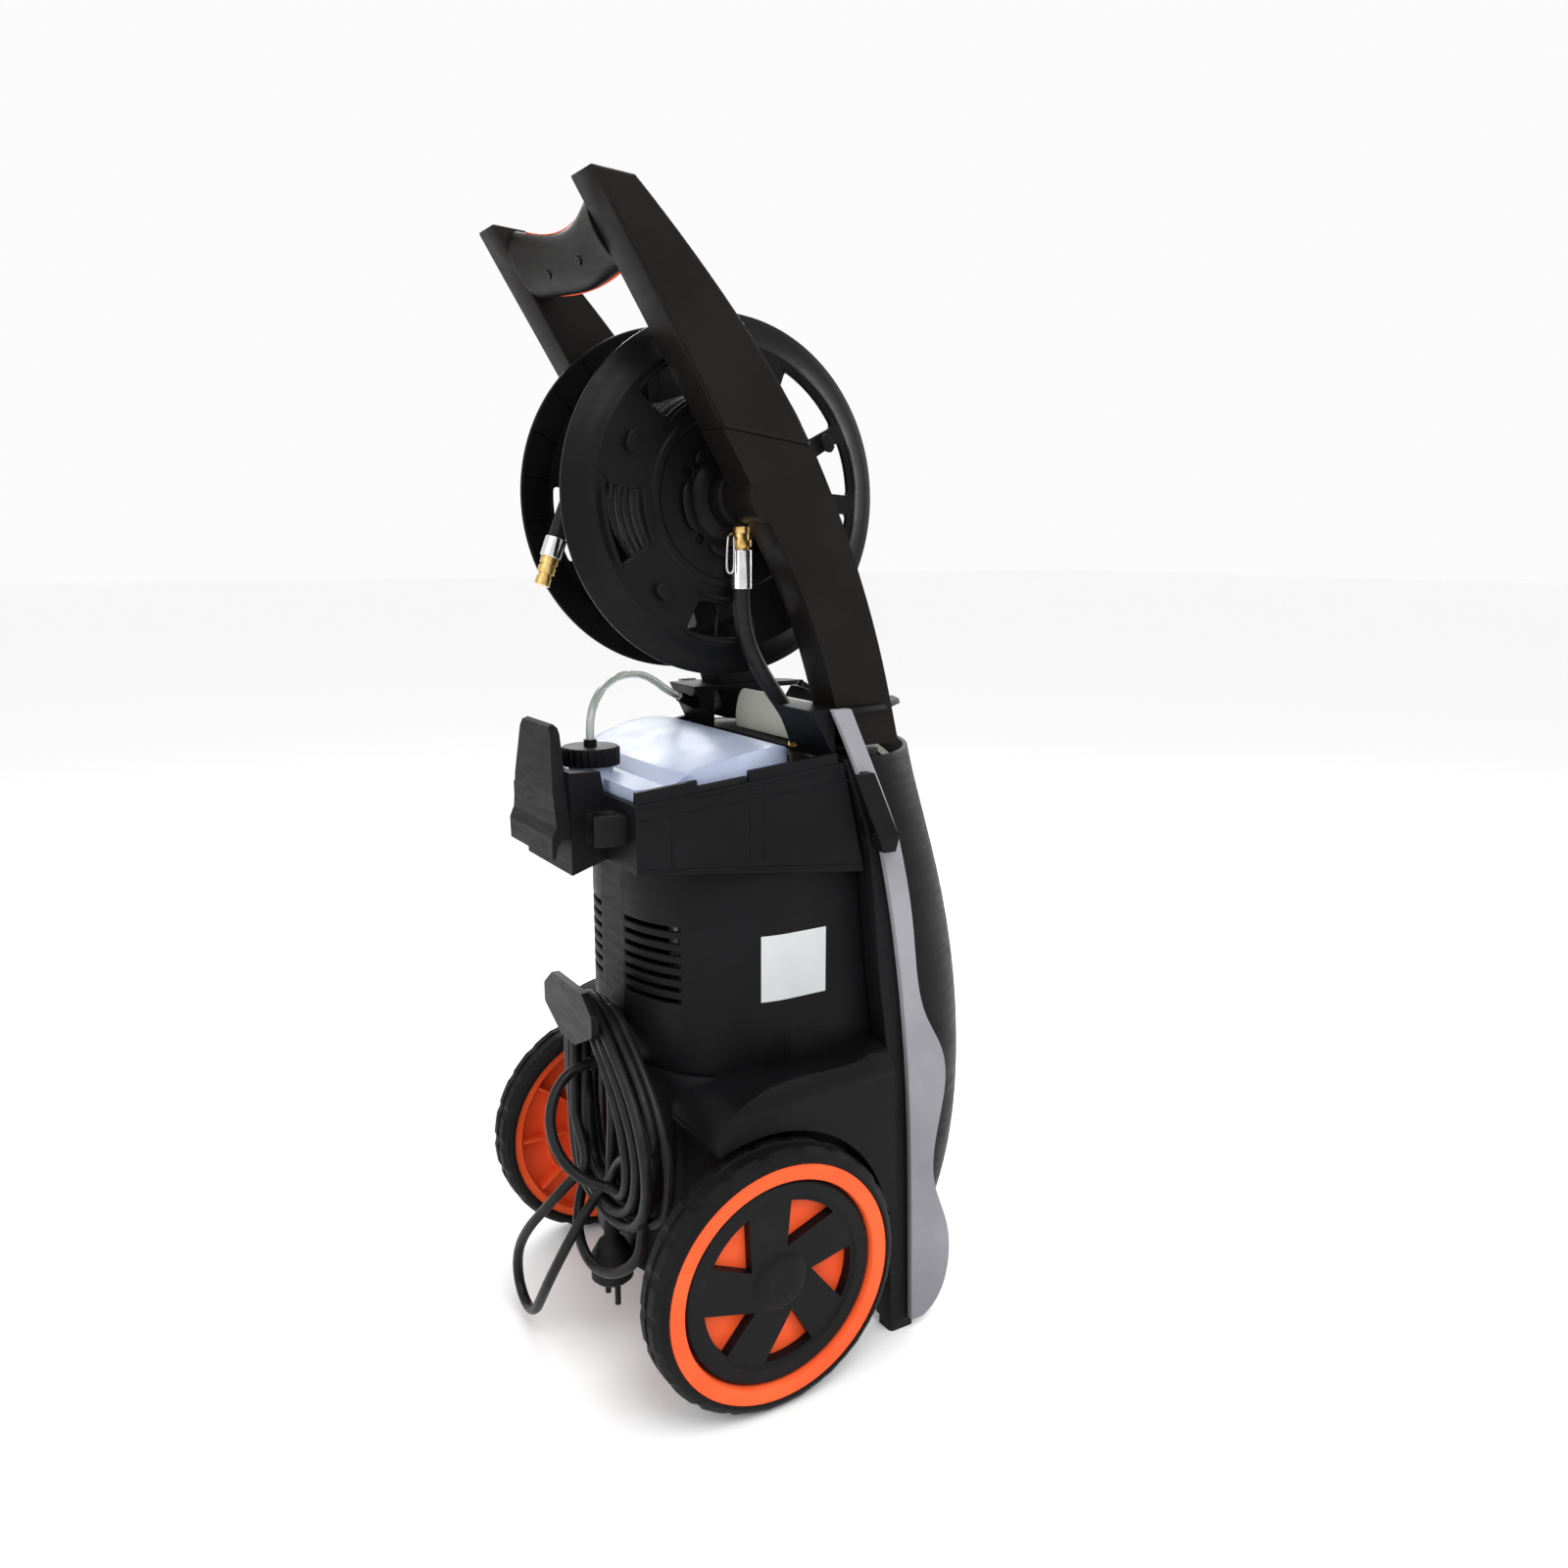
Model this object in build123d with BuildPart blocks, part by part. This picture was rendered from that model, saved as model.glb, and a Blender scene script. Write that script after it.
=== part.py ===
"""Upright electric pressure washer with a hose reel between the handle arms.

Frame, in millimetres: +Z is up and the machine stands on z = 0; -Y is the front and +Y the side
where the user stands; -X is the user's right. The origin is the centre of the footprint.
"""

import math
import os

from build123d import *

os.makedirs("parts", exist_ok=True)

# ---------------------------------------------------------------- driving dimensions
WHEEL_R = 105.0
TRACK = 172.0                 # outer face of each wheel from the middle plane
TYRE_IN = 136.0               # inner face of each tyre from the middle plane
AXLE_Y = 65.0
AXLE_Z = WHEEL_R
AXLE_R = 6.0
RUN_FIT = 0.05                # radial play of everything that turns

BODY_W = 114.0                # half width of the motor housing
BODY_REAR = 119.0
BODY_CORNER = 96.0            # radius of its two rear corners
BASE_TOP = 245.0
BASE_FLOOR = 62.0
WALL = 3.5

FRAME_IN = 118.0              # side frames run from here ...
FRAME_OUT = 138.0             # ... to here
LEAN_Z = 430.0                # above this the sides lean inwards
LEAN_TOP_Z = 525.0
LEAN = 19.5                   # by this much at LEAN_TOP_Z

ARM_IN, ARM_OUT = 75.0, 107.0
ARM_FOOT_Z = 492.0

REEL_Y, REEL_Z = 35.0, 678.0
FLANGE_R = 133.0
FLANGE_X = 49.5
DRUM_R = 45.0
SHAFT_R = 10.0

TANK_FLOOR = 433.0
CAP_Y = 134.0
CAP_Z = 478.0                 # underside of the tank cap
CAP_R = 22.5

HOSE_R = 6.5                  # high pressure hose
TUBE_R = 3.25                 # clear detergent tube
CORD_R = 4.25                 # mains lead

SIDES = {"right": -1, "left": 1}
WHEEL_AXIS = Axis((0, AXLE_Y, AXLE_Z), (1, 0, 0))
REEL_AXIS = Axis((0, REEL_Y, REEL_Z), (1, 0, 0))
WHEEL_PLANE = Plane(origin=(0, AXLE_Y, AXLE_Z), x_dir=(1, 0, 0), z_dir=(0, -1, 0))
REEL_PLANE = Plane(origin=(0, REEL_Y, REEL_Z), x_dir=(1, 0, 0), z_dir=(0, -1, 0))


# ---------------------------------------------------------------- helpers
def save(builder, name):
    """Label one finished piece and write it."""
    builder.part.label = name
    export_step(builder.part, f"parts/{name}.step")


def polar(radius, degrees):
    return (radius * math.cos(math.radians(degrees)), radius * math.sin(math.radians(degrees)))


def side_plane(sign, x):
    """YZ plane at distance x from the middle, on the given side."""
    return Plane.YZ.offset(sign * x)


def turned(plane, axis, points, sign=1, mode=Mode.ADD):
    """Solid turned about an axis from (distance from middle, radius) points."""
    with BuildSketch(plane) as profile:
        with BuildLine():
            Polyline(*[(sign * x, r) for x, r in points], close=True)
        make_face()
    revolve(profile.sketch, axis=axis, mode=mode)


def rod(start, end, radius, mode=Mode.ADD):
    """Round bar between two points."""
    start, end = Vector(*start), Vector(*end)
    with BuildSketch(Plane(origin=start, z_dir=end - start)) as section:
        Circle(radius)
    extrude(section.sketch, amount=(end - start).length, mode=mode)


def cord_tube(name, points, radius, minimum):
    """Tube of straight runs joined by arcs as large as the runs allow."""
    vectors = [Vector(*p) for p in points]
    runs = [(b - a).length for a, b in zip(vectors, vectors[1:])]
    radii = []
    for i in range(1, len(vectors) - 1):
        turn = (vectors[i] - vectors[i - 1]).get_angle(vectors[i + 1] - vectors[i])
        shorter = min(runs[i - 1], runs[i])
        radii.append(0.45 * shorter / math.tan(math.radians(turn / 2)))
    with BuildPart() as tube:
        with BuildLine() as route:
            FilletPolyline(*points, radius=radii)
        wire = route.wires()[0]
        with BuildSketch(Plane(origin=wire @ 0, z_dir=wire % 0)):
            Circle(radius)
        sweep(path=wire)
    save(tube, name)
    exact = math.pi * radius**2 * wire.length
    print(f"{name}: length {wire.length:.0f}, tightest arc {min(radii):.1f} (wanted {minimum:.0f}),",
          f"volume ratio {tube.part.volume / exact:.4f}")
    return tube


def body_plan(grow=0.0, front=-58.0):
    """Plan of the motor housing: straight sides and large rear corners."""
    width, depth = 2 * (BODY_W + grow), BODY_REAR + grow - front
    with Locations((0, front + depth / 2)):
        Rectangle(width, depth)
    fillet(vertices().group_by(Axis.Y)[-1], BODY_CORNER + grow)


# ---------------------------------------------------------------- wheels
WINDOW_PITCH = 72
WINDOW_FIRST = 47


def wheel(side, sign):
    with BuildPart() as tyre:
        turned(WHEEL_PLANE, WHEEL_AXIS, [
            (TYRE_IN + 1, 94.3), (TRACK - 1, 94.3), (TRACK, 97), (TRACK - 3, 102.5), (TRACK - 7, WHEEL_R),
            (TYRE_IN + 7, WHEEL_R), (TYRE_IN + 3, 102.5), (TYRE_IN, 97)], sign)
    save(tyre, f"tyre_{side}")

    with BuildPart() as rim:
        turned(WHEEL_PLANE, WHEEL_AXIS, [
            (139, 94), (171, 94), (171, 82), (157, 80), (157, AXLE_R + RUN_FIT), (140, AXLE_R + RUN_FIT),
            (140, 15), (151, 15), (151, 84), (139, 87)], sign)
        with BuildSketch(side_plane(sign, 141)):
            with Locations((AXLE_Y, AXLE_Z)):
                with PolarLocations(49.5, 10):
                    Rectangle(71, 2.6)
        extrude(amount=sign * 10.5)
        for ring in (38, 62):
            with BuildSketch(side_plane(sign, 143)):
                with Locations((AXLE_Y, AXLE_Z)):
                    Circle(ring + 1.3)
                    Circle(ring - 1.3, mode=Mode.SUBTRACT)
            extrude(amount=sign * 8.5)
    save(rim, f"rim_{side}")

    with BuildPart() as cover:
        turned(WHEEL_PLANE, WHEEL_AXIS, [
            (157.2, 79.3), (166.5, 79.9), (168, 78), (168, 68), (166, 66), (166, 24), (168.5, 20),
            (169.5, 12), (169.5, 0), (163, 0), (163, 15), (157.2, 15)], sign)
        for k in range(5):
            middle = WINDOW_FIRST + k * WINDOW_PITCH
            a, b, c = (polar(r, middle + d) for r, d in ((64, 19), (64, -20), (28, -16)))
            crown = polar(64, middle - 0.5)
            with BuildSketch(Plane(origin=(sign * 150, AXLE_Y, AXLE_Z), x_dir=(0, 1, 0), z_dir=(1, 0, 0))):
                with BuildLine():
                    ThreePointArc(a, crown, b)
                    Polyline(b, c, a)
                make_face()
            extrude(amount=sign * 25, mode=Mode.SUBTRACT)
    save(cover, f"wheel_cover_{side}")


for side, sign in SIDES.items():
    wheel(side, sign)

with BuildPart() as axle:
    rod((-161, AXLE_Y, AXLE_Z), (161, AXLE_Y, AXLE_Z), AXLE_R)
save(axle, "axle")

with BuildPart() as axle_fixings:
    for sign in SIDES.values():
        for start, end, radius in ((134.3, 139.7, 12), (157.5, 160, 12)):
            with BuildSketch(side_plane(sign, start)):
                with Locations((AXLE_Y, AXLE_Z)):
                    Circle(radius)
                    Circle(AXLE_R + 0.02, mode=Mode.SUBTRACT)
            extrude(amount=sign * (end - start))
save(axle_fixings, "axle_fixings")

# ---------------------------------------------------------------- base with mudguards
ARCH_R = WHEEL_R + 6
GUARD_ROUND = 22

with BuildPart() as base:
    with BuildSketch(Plane.XY.offset(BASE_FLOOR)):
        body_plan(grow=4)
    extrude(amount=BASE_TOP - BASE_FLOOR)
    chamfer(base.edges().group_by(Axis.Z)[0], 5)
    with BuildSketch(Plane.YZ.offset(-150)):
        with BuildLine():
            top = Spline((106, 212), (99, 234), (78, 246), (30, 252), (-46, 258))
            Polyline(top @ 1, (-49.5, 258), (-54.5, 120), (106, 120), top @ 0)
        make_face()
        with Locations((AXLE_Y, AXLE_Z)):
            Circle(ARCH_R, mode=Mode.SUBTRACT)
    extrude(amount=300)
    outer = base.edges().filter_by_position(Axis.X, 149, 151)
    outer += base.edges().filter_by_position(Axis.X, -151, -149)
    fillet(outer.group_by(Axis.Z)[-1], GUARD_ROUND)
    with BuildSketch(Plane.XY.offset(BASE_TOP)):
        body_plan(grow=4.0 - 4.5)
    extrude(amount=30, mode=Mode.SUBTRACT)
    with BuildSketch(Plane.XY.offset(BASE_FLOOR + 4)):
        body_plan(grow=0, front=-70)
    extrude(amount=250, mode=Mode.SUBTRACT)
    for sign in SIDES.values():
        with BuildSketch(side_plane(sign, 90)):
            with Locations((AXLE_Y, AXLE_Z)):
                Circle(14)
        extrude(amount=sign * 44)
    rod((-150, AXLE_Y, AXLE_Z), (150, AXLE_Y, AXLE_Z), AXLE_R + 0.1, mode=Mode.SUBTRACT)
save(base, "base")

# ---------------------------------------------------------------- motor housing
LOUVRES = 7                                  # rows of cooling slots round each rear corner
LOUVRE_PITCH = 9.5
LOUVRE_FRONT, LOUVRE_REAR = 98.0, 125.0
with BuildPart() as motor_housing:
    with BuildSketch(Plane.XY.offset(BASE_TOP - 4)):
        body_plan(grow=-0.8)
    extrude(amount=4.3)
    with BuildSketch(Plane.XY.offset(BASE_TOP + 0.3)):
        body_plan()
    extrude(amount=178)
    with BuildSketch(Plane.XY.offset(BASE_TOP - 5)):
        body_plan(grow=-WALL - 0.8, front=-70)
    extrude(amount=200, mode=Mode.SUBTRACT)
    for row in range(LOUVRES):
        for sign in SIDES.values():
            with Locations((sign * 72, (LOUVRE_FRONT + LOUVRE_REAR) / 2, 302 + LOUVRE_PITCH * row)):
                Box(100, LOUVRE_REAR - LOUVRE_FRONT, 4, mode=Mode.SUBTRACT)
save(motor_housing, "motor_housing")

with BuildPart() as rating_label:
    with BuildSketch(Plane.XY.offset(303)):
        body_plan(grow=0.6)
    extrude(amount=52)
    with BuildSketch(Plane.XY.offset(303)):
        body_plan(grow=0.05, front=-59)
    extrude(amount=52, mode=Mode.SUBTRACT)
    with Locations((-110, 20, 329)):
        Box(40, 56, 52, mode=Mode.INTERSECT)
save(rating_label, "rating_label")

# ---------------------------------------------------------------- upper housing, a tray for the tank
TRAY_FRONT_W, TRAY_REAR_W = 132.0, 98.0
TRAY_FRONT, TRAY_REAR = -45.0, 143.0
BLOCK_W, BLOCK_REAR = 45.0, 170.0


def tray_plan(inset, front, rear):
    """Tapered plan of the upper housing, inset all round."""
    slope = (TRAY_FRONT_W - TRAY_REAR_W) / (TRAY_REAR - TRAY_FRONT)
    wide = TRAY_FRONT_W - slope * (front - TRAY_FRONT) - inset
    narrow = TRAY_FRONT_W - slope * (rear - TRAY_FRONT) - inset
    with BuildLine() as plan:
        Polyline((-wide, front), (wide, front), (narrow, rear), (-narrow, rear), close=True)
    return plan


with BuildPart() as upper_housing:
    with BuildSketch(Plane.XY.offset(390)):
        add(make_face(tray_plan(0, TRAY_FRONT, TRAY_REAR).edges(), mode=Mode.PRIVATE))
        with Locations((0, (TRAY_REAR + BLOCK_REAR) / 2 - 5)):
            Rectangle(2 * BLOCK_W, BLOCK_REAR - TRAY_REAR + 10)
    extrude(amount=110)
    with BuildSketch(Plane.YZ.offset(-150)):
        with BuildLine():
            Polyline((-32.5, 399), (TRAY_REAR, 413), (BLOCK_REAR, 404), (BLOCK_REAR, 481),
                     (TRAY_REAR + 3, 480), (TRAY_REAR, 463), (-14.5, 484), close=True)
        make_face()
    extrude(amount=300, mode=Mode.INTERSECT)
    with BuildSketch(Plane.XY.offset(TANK_FLOOR - 0.3)):
        add(make_face(tray_plan(12, -9, TRAY_REAR - 4).edges(), mode=Mode.PRIVATE))
        fillet(vertices().group_by(Axis.Y)[0], 60)
        with Locations((0, 146)):
            Rectangle(66, 34)
    extrude(amount=80, mode=Mode.SUBTRACT)
    with BuildSketch(Plane.XY.offset(390)):
        add(make_face(tray_plan(WALL, TRAY_FRONT - 5, TRAY_REAR - WALL).edges(), mode=Mode.PRIVATE))
    extrude(amount=TANK_FLOOR - 4.3 - 390, mode=Mode.SUBTRACT)
save(upper_housing, "upper_housing")

with BuildPart() as rear_hook:
    with BuildSketch(Plane.YZ.offset(-60)):
        with BuildLine():
            Polyline((170.3, 432), (170.3, 478), (171, 512), (174, 515), (178, 513), (181, 470), (181, 442),
                     (184.5, 434), (184.5, 418), (181.5, 418), (180, 428), (176, 432), close=True)
        make_face()
    extrude(amount=120)
    with BuildSketch(Plane.XZ.offset(-190)):
        with BuildLine():
            Polyline((-43, 410), (43, 410), (45, 440), (31, 508), (25, 515), (-25, 515), (-31, 508),
                     (-45, 440), close=True)
        make_face()
    extrude(amount=30, mode=Mode.INTERSECT)
save(rear_hook, "rear_hook")


# C-shaped clips that hold a lance upright, open to the rear
with BuildPart() as lance_clips:
    with BuildSketch(Plane.XY.offset(433)):
        with Locations((-74, TRAY_REAR + 13.2), (74, TRAY_REAR + 13.2)):
            Circle(13)
            Rectangle(26, 13, align=(Align.CENTER, Align.MAX))
            Circle(9, mode=Mode.SUBTRACT)
            Rectangle(13, 20, align=(Align.CENTER, Align.MIN), mode=Mode.SUBTRACT)
    extrude(amount=22)
save(lance_clips, "lance_clips")

# ---------------------------------------------------------------- detergent tank
with BuildPart() as tank:
    with BuildSketch(Plane.XY.offset(TANK_FLOOR)):
        add(make_face(tray_plan(13.5, -7.5, TRAY_REAR - 5.5).edges(), mode=Mode.PRIVATE))
        fillet(vertices().group_by(Axis.Y)[0], 58)
        with Locations((0, 145)):
            Rectangle(62, 30)
        fillet(vertices().group_by(Axis.Y)[-1], 9)
    extrude(amount=70)
    with BuildSketch(Plane.YZ.offset(-150)):
        with BuildLine():
            crest = Spline((-8, 480), (12, 493), (50, 494), (100, 480))
            Polyline(crest @ 1, (112, 472), (161, 472), (161, TANK_FLOOR), (-8, TANK_FLOOR), crest @ 0)
        make_face()
    extrude(amount=300, mode=Mode.INTERSECT)
    with BuildSketch(Plane.XY.offset(465)):
        with Locations((0, CAP_Y)):
            Circle(17)
    extrude(amount=CAP_Z + 9 - 465)
    with BuildSketch(Plane.XY.offset(TANK_FLOOR + 2.5)):
        add(make_face(tray_plan(16.5, -4, TRAY_REAR - 8.5).edges(), mode=Mode.PRIVATE))
        fillet(vertices().group_by(Axis.Y)[0], 55)
    extrude(amount=34, mode=Mode.SUBTRACT)
    with BuildSketch(Plane.XY.offset(460)):
        with Locations((0, CAP_Y)):
            Circle(14)
    extrude(amount=40, mode=Mode.SUBTRACT)
save(tank, "detergent_tank")

SPOUT_R = 5.0
with BuildPart() as tank_cap:
    with BuildSketch(Plane.XY.offset(CAP_Z)):
        with Locations((0, CAP_Y)):
            Circle(CAP_R)
    extrude(amount=14)
    chamfer(tank_cap.edges().group_by(Axis.Z)[-1], 1.5)
    with BuildSketch(Plane.XY.offset(CAP_Z)):
        with Locations((0, CAP_Y)):
            Circle(17.3)
    extrude(amount=9.3, mode=Mode.SUBTRACT)
    with BuildSketch(Plane.XY.offset(CAP_Z)):
        with Locations((0, CAP_Y)):
            Circle(SPOUT_R + RUN_FIT)
            with PolarLocations(CAP_R + 0.4, 24):
                Circle(1.6)
    extrude(amount=20, mode=Mode.SUBTRACT)
save(tank_cap, "tank_cap")

with BuildPart() as tank_spout:
    with BuildSketch(Plane.XY.offset(470)):
        with Locations((0, CAP_Y)):
            Circle(SPOUT_R)
            Circle(1.6, mode=Mode.SUBTRACT)
    extrude(amount=27)
    with BuildSketch(Plane.XY.offset(474)):
        with Locations((0, CAP_Y)):
            Circle(13.8)
            Circle(1.6, mode=Mode.SUBTRACT)
    extrude(amount=4)
save(tank_spout, "tank_spout")

# ---------------------------------------------------------------- side frames, grey strips, feet
def leaning_band(inner, outer, front=-140, back=20):
    """Upright slab that leans inwards above LEAN_Z, cut out of the pieces on each side."""
    with BuildSketch(Plane.XZ.offset(-back)) as band:
        with BuildLine():
            Polyline((inner, -5), (outer, -5), (outer, LEAN_Z), (outer - LEAN, LEAN_TOP_Z),
                     (inner - LEAN, LEAN_TOP_Z), (inner, LEAN_Z), close=True)
        make_face()
    return extrude(band.sketch, amount=back - front, mode=Mode.PRIVATE)


with BuildPart() as side_frames:
    with BuildSketch(Plane.YZ.offset(FRAME_IN)):
        with BuildLine():
            rear = Spline((-60, 8.3), (-58.5, 60), (-56, 143), (-52, 246), (-43, 312), (-35, 392),
                          (-15, 486))
            Polyline(rear @ 1, (-27, 486), (-44, 430), (-57, 370), (-69, 316), (-76, 270), (-83, 215),
                     (-84, 101), (-108, 99), (-111, 45), (-107, 27), (-86, 8.3), rear @ 0)
        make_face()
    extrude(amount=FRAME_OUT - FRAME_IN)
    add(leaning_band(FRAME_IN - 18, FRAME_OUT), mode=Mode.INTERSECT)
    # the frame stays outside the inner shells right up to its top
    with Locations((FRAME_IN - 20, -40, 460)):
        Box(40, 120, 80, mode=Mode.SUBTRACT)
    mirror(about=Plane.YZ)
save(side_frames, "side_frames")

STRIP_GAP, STRIP_T = 0.3, 6.0
with BuildPart() as side_strips:
    with BuildSketch(Plane.YZ.offset(90)):
        with BuildLine():
            rear = Spline((-78, 9), (-75, 100), (-69, 225), (-61, 300), (-39, 418), (-6, 524))
            front = Spline((-22, 524), (-39, 475), (-57, 416), (-71, 347), (-86, 275), (-103, 243),
                           (-107, 222),
                           (-100, 174), (-98, 132), (-113, 88), (-115, 45), (-109, 27), (-90, 9))
            Line(rear @ 1, front @ 0)
            Line(front @ 1, rear @ 0)
        make_face()
    extrude(amount=80)
    add(leaning_band(FRAME_OUT + STRIP_GAP, FRAME_OUT + STRIP_GAP + STRIP_T), mode=Mode.INTERSECT)
    mirror(about=Plane.YZ)
save(side_strips, "side_strips")


# rests for a lance on the side strips
HOOK_IN = FRAME_OUT + 2 * STRIP_GAP + STRIP_T
with BuildPart() as side_hooks:
    with BuildSketch(Plane.YZ.offset(90)):
        with BuildLine():
            Polyline((-13, 478), (-30, 478), (-47, 428), (-44, 418), (-33, 418), (-29, 428), close=True)
        make_face()
    extrude(amount=90)
    add(leaning_band(HOOK_IN, HOOK_IN + 10), mode=Mode.INTERSECT)
    with BuildSketch(Plane.YZ.offset(90)) as groove:
        with BuildLine():
            Polyline((-8, 482), (-21, 482), (-38, 432), (-25, 432), close=True)
        make_face()
    trough = extrude(groove.sketch, amount=90, mode=Mode.PRIVATE)
    add(trough & leaning_band(HOOK_IN - 1, HOOK_IN + 6.5), mode=Mode.SUBTRACT)
    mirror(about=Plane.YZ)
save(side_hooks, "side_hooks")

with BuildPart() as foot_pads:
    for sign in SIDES.values():
        with Locations((sign * 128, -73.5)):
            Box(19, 24, 8.2, align=(Align.CENTER, Align.CENTER, Align.MIN))
    fillet(foot_pads.edges().filter_by(Axis.Z), 4)
save(foot_pads, "foot_pads")

# ---------------------------------------------------------------- front cover
# height, half width, where the side starts to curve, foremost point, seam with the side frame
COVER_SECTIONS = [
    (100, 128, -96, -158, -86.5), (150, 135, -98, -173, -86.5),
    (220, 137, -97, -180, -85.5), (300, 137, -84, -176, -73.5),
    (400, 137, -60, -151, -54.5), (485.8, 125, -36, -131, -30.5),
]


def cover_section(height, half, side_y, nose_y, seam_y, inset):
    """Plan of the cover at one height: straight flanks and a half ellipse round the front."""
    with BuildSketch(Plane.XY.offset(height)) as plan:
        with BuildLine():
            wide = half - inset
            depth = side_y - nose_y - inset
            nose = EllipticalCenterArc((0, side_y), wide, depth, start_angle=180, arc_size=180)
            Polyline(nose @ 1, (wide, seam_y), (-wide, seam_y), nose @ 0)
        make_face()
    return plan.sketch


with BuildPart() as front_cover:
    loft([cover_section(*row, 0) for row in COVER_SECTIONS])
    inner = [cover_section(h + (4 if h == 100 else 0) + (3 if h > 480 else 0), w, y, n, s + 4, 4)
             for h, w, y, n, s in COVER_SECTIONS]
    loft(inner, mode=Mode.SUBTRACT)
    rod((0, -200, 128), (0, -120, 128), 15, mode=Mode.SUBTRACT)
    add(side_frames.part, mode=Mode.SUBTRACT)
save(front_cover, "front_cover")

# ---------------------------------------------------------------- handle arms
# points (y, z) down the rear and the front edge of an arm, from the grip to its foot
ARM_REAR = [(169, 877), (107, 775), (48, 676), (2, 590), (-20, 525), (-29, ARM_FOOT_Z)]
ARM_FRONT = [(138, 875), (66, 800), (8, 722), (-33, 640), (-60, 567), (-72, 524), (-80, ARM_FOOT_Z)]
LAP = Plane(origin=(0, 38, 717.5), z_dir=(0, -0.13, 1))     # where the upper arm meets the lower one
LAP_GAP = 0.3


def arm_profile(plane):
    """Side view of a whole arm."""
    with BuildSketch(plane) as profile:
        with BuildLine():
            rear = Spline(*ARM_REAR)
            front = Spline(*ARM_FRONT)
            Line(rear @ 0, front @ 0)
            Line(rear @ 1, front @ 1)
        make_face()
    return profile.sketch


def arm(side, sign):
    with BuildPart() as lower:
        extrude(arm_profile(Plane.YZ.offset(ARM_IN)), amount=ARM_OUT - ARM_IN)
        split(bisect_by=LAP.offset(-LAP_GAP), keep=Keep.BOTTOM)
        # bearing boss on the reel axis
        rod((ARM_IN - 7, REEL_Y, REEL_Z), (ARM_OUT, REEL_Y, REEL_Z), 19)
        if sign > 0:
            rod((0, REEL_Y, REEL_Z), (200, REEL_Y, REEL_Z), SHAFT_R + RUN_FIT, mode=Mode.SUBTRACT)
    with BuildPart() as upper:
        extrude(arm_profile(Plane.YZ.offset(ARM_IN - 1)), amount=ARM_OUT - ARM_IN + 3)
        split(bisect_by=LAP, keep=Keep.TOP)
        chamfer(upper.edges().filter_by_position(Axis.X, ARM_OUT + 1.9, ARM_OUT + 2.1), 2)
    for piece, name in ((lower, "lower_arm"), (upper, "upper_arm")):
        if sign > 0:
            save(piece, f"{name}_{side}")
        else:
            with BuildPart() as mirrored:
                mirror(piece.part, about=Plane.YZ)
            save(mirrored, f"{name}_{side}")


for side, sign in SIDES.items():
    arm(side, sign)

# plan of an arm socket at its foot and at its mouth, on the left side
SOCKET_FOOT = [(67, -12), (120, -12), (123, -40), (112, -80), (86, -110), (67, -118)]
SOCKET_MOUTH = [(67, 8), (115, 8), (118, -24), (108, -66), (84, -97), (67, -104)]
with BuildPart() as arm_sockets:
    levels = []
    for height, points in ((486.3, SOCKET_FOOT), (523, SOCKET_MOUTH)):
        with BuildSketch(Plane.XY.offset(height)) as level:
            with BuildLine():
                Polyline(*points, close=True)
            make_face()
        levels.append(level.sketch)
    loft(levels, ruled=True)
    with BuildSketch(Plane.YZ.offset(ARM_IN - 0.2)):
        with BuildLine():
            Polyline((-19, 526), (-28, ARM_FOOT_Z - 0.2), (-81, ARM_FOOT_Z - 0.2), (-72.3, 526), close=True)
        make_face()
    extrude(amount=ARM_OUT - ARM_IN + 0.4, mode=Mode.SUBTRACT)
    mirror(about=Plane.YZ)
save(arm_sockets, "arm_sockets")

with BuildPart() as front_deck:
    with BuildSketch(Plane.XY.offset(477)):
        with BuildLine():
            Polyline((-116, -14), (116, -14), (116, -50), (90, -73), (-90, -73), (-116, -50), close=True)
        make_face()
    extrude(amount=9)
    with Locations((0, -11, 481.5)):
        Box(240, 12, 20, mode=Mode.SUBTRACT)
save(front_deck, "front_deck")

# ---------------------------------------------------------------- switch panel
SWITCH_DIR = Vector(0, -0.55, 0.835)
SWITCH_SEAT = (0, -60, 506.5)
SWITCH_PLANE = Plane(origin=SWITCH_SEAT, z_dir=SWITCH_DIR, x_dir=(1, 0, 0))
SWITCH_FOOT = tuple(Vector(*SWITCH_SEAT) - 31 * SWITCH_DIR)
with BuildPart() as switch_panel:
    with BuildSketch(Plane.YZ.offset(-61)):
        with BuildLine():
            skin = Spline((-31, 487), (-31, 508), (-37, 519.5), (-52, 511), (-98, 480), (-117, 466))
            under = Spline((-114, 462), (-96, 475), (-51, 506), (-39, 514), (-35.5, 507), (-35, 487))
            Line(skin @ 1, under @ 0)
            Line(under @ 1, skin @ 0)
        make_face()
    extrude(amount=122)
    rod(SWITCH_FOOT, SWITCH_SEAT, 4 + RUN_FIT, mode=Mode.SUBTRACT)
save(switch_panel, "switch_panel")

with BuildPart() as switch_knob:
    with BuildSketch(SWITCH_PLANE.offset(1.0)):
        Circle(19)
    extrude(amount=13)
    fillet(switch_knob.edges().group_by(Axis.Z)[-1], 2)
    with BuildSketch(SWITCH_PLANE.offset(13.5)):
        SlotOverall(34, 9, rotation=90)
    extrude(amount=6)
    with BuildSketch(SWITCH_PLANE.offset(-19)):
        Circle(4)
    extrude(amount=20.5)
save(switch_knob, "switch_knob")

with BuildPart() as switch_box:
    with BuildSketch(SWITCH_PLANE.offset(-22)):
        Rectangle(34, 22)
    extrude(amount=14)
    split(bisect_by=Plane.XY.offset(486.2), keep=Keep.TOP)
    rod(SWITCH_FOOT, SWITCH_SEAT, 4 + RUN_FIT, mode=Mode.SUBTRACT)
save(switch_box, "switch_box")

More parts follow.
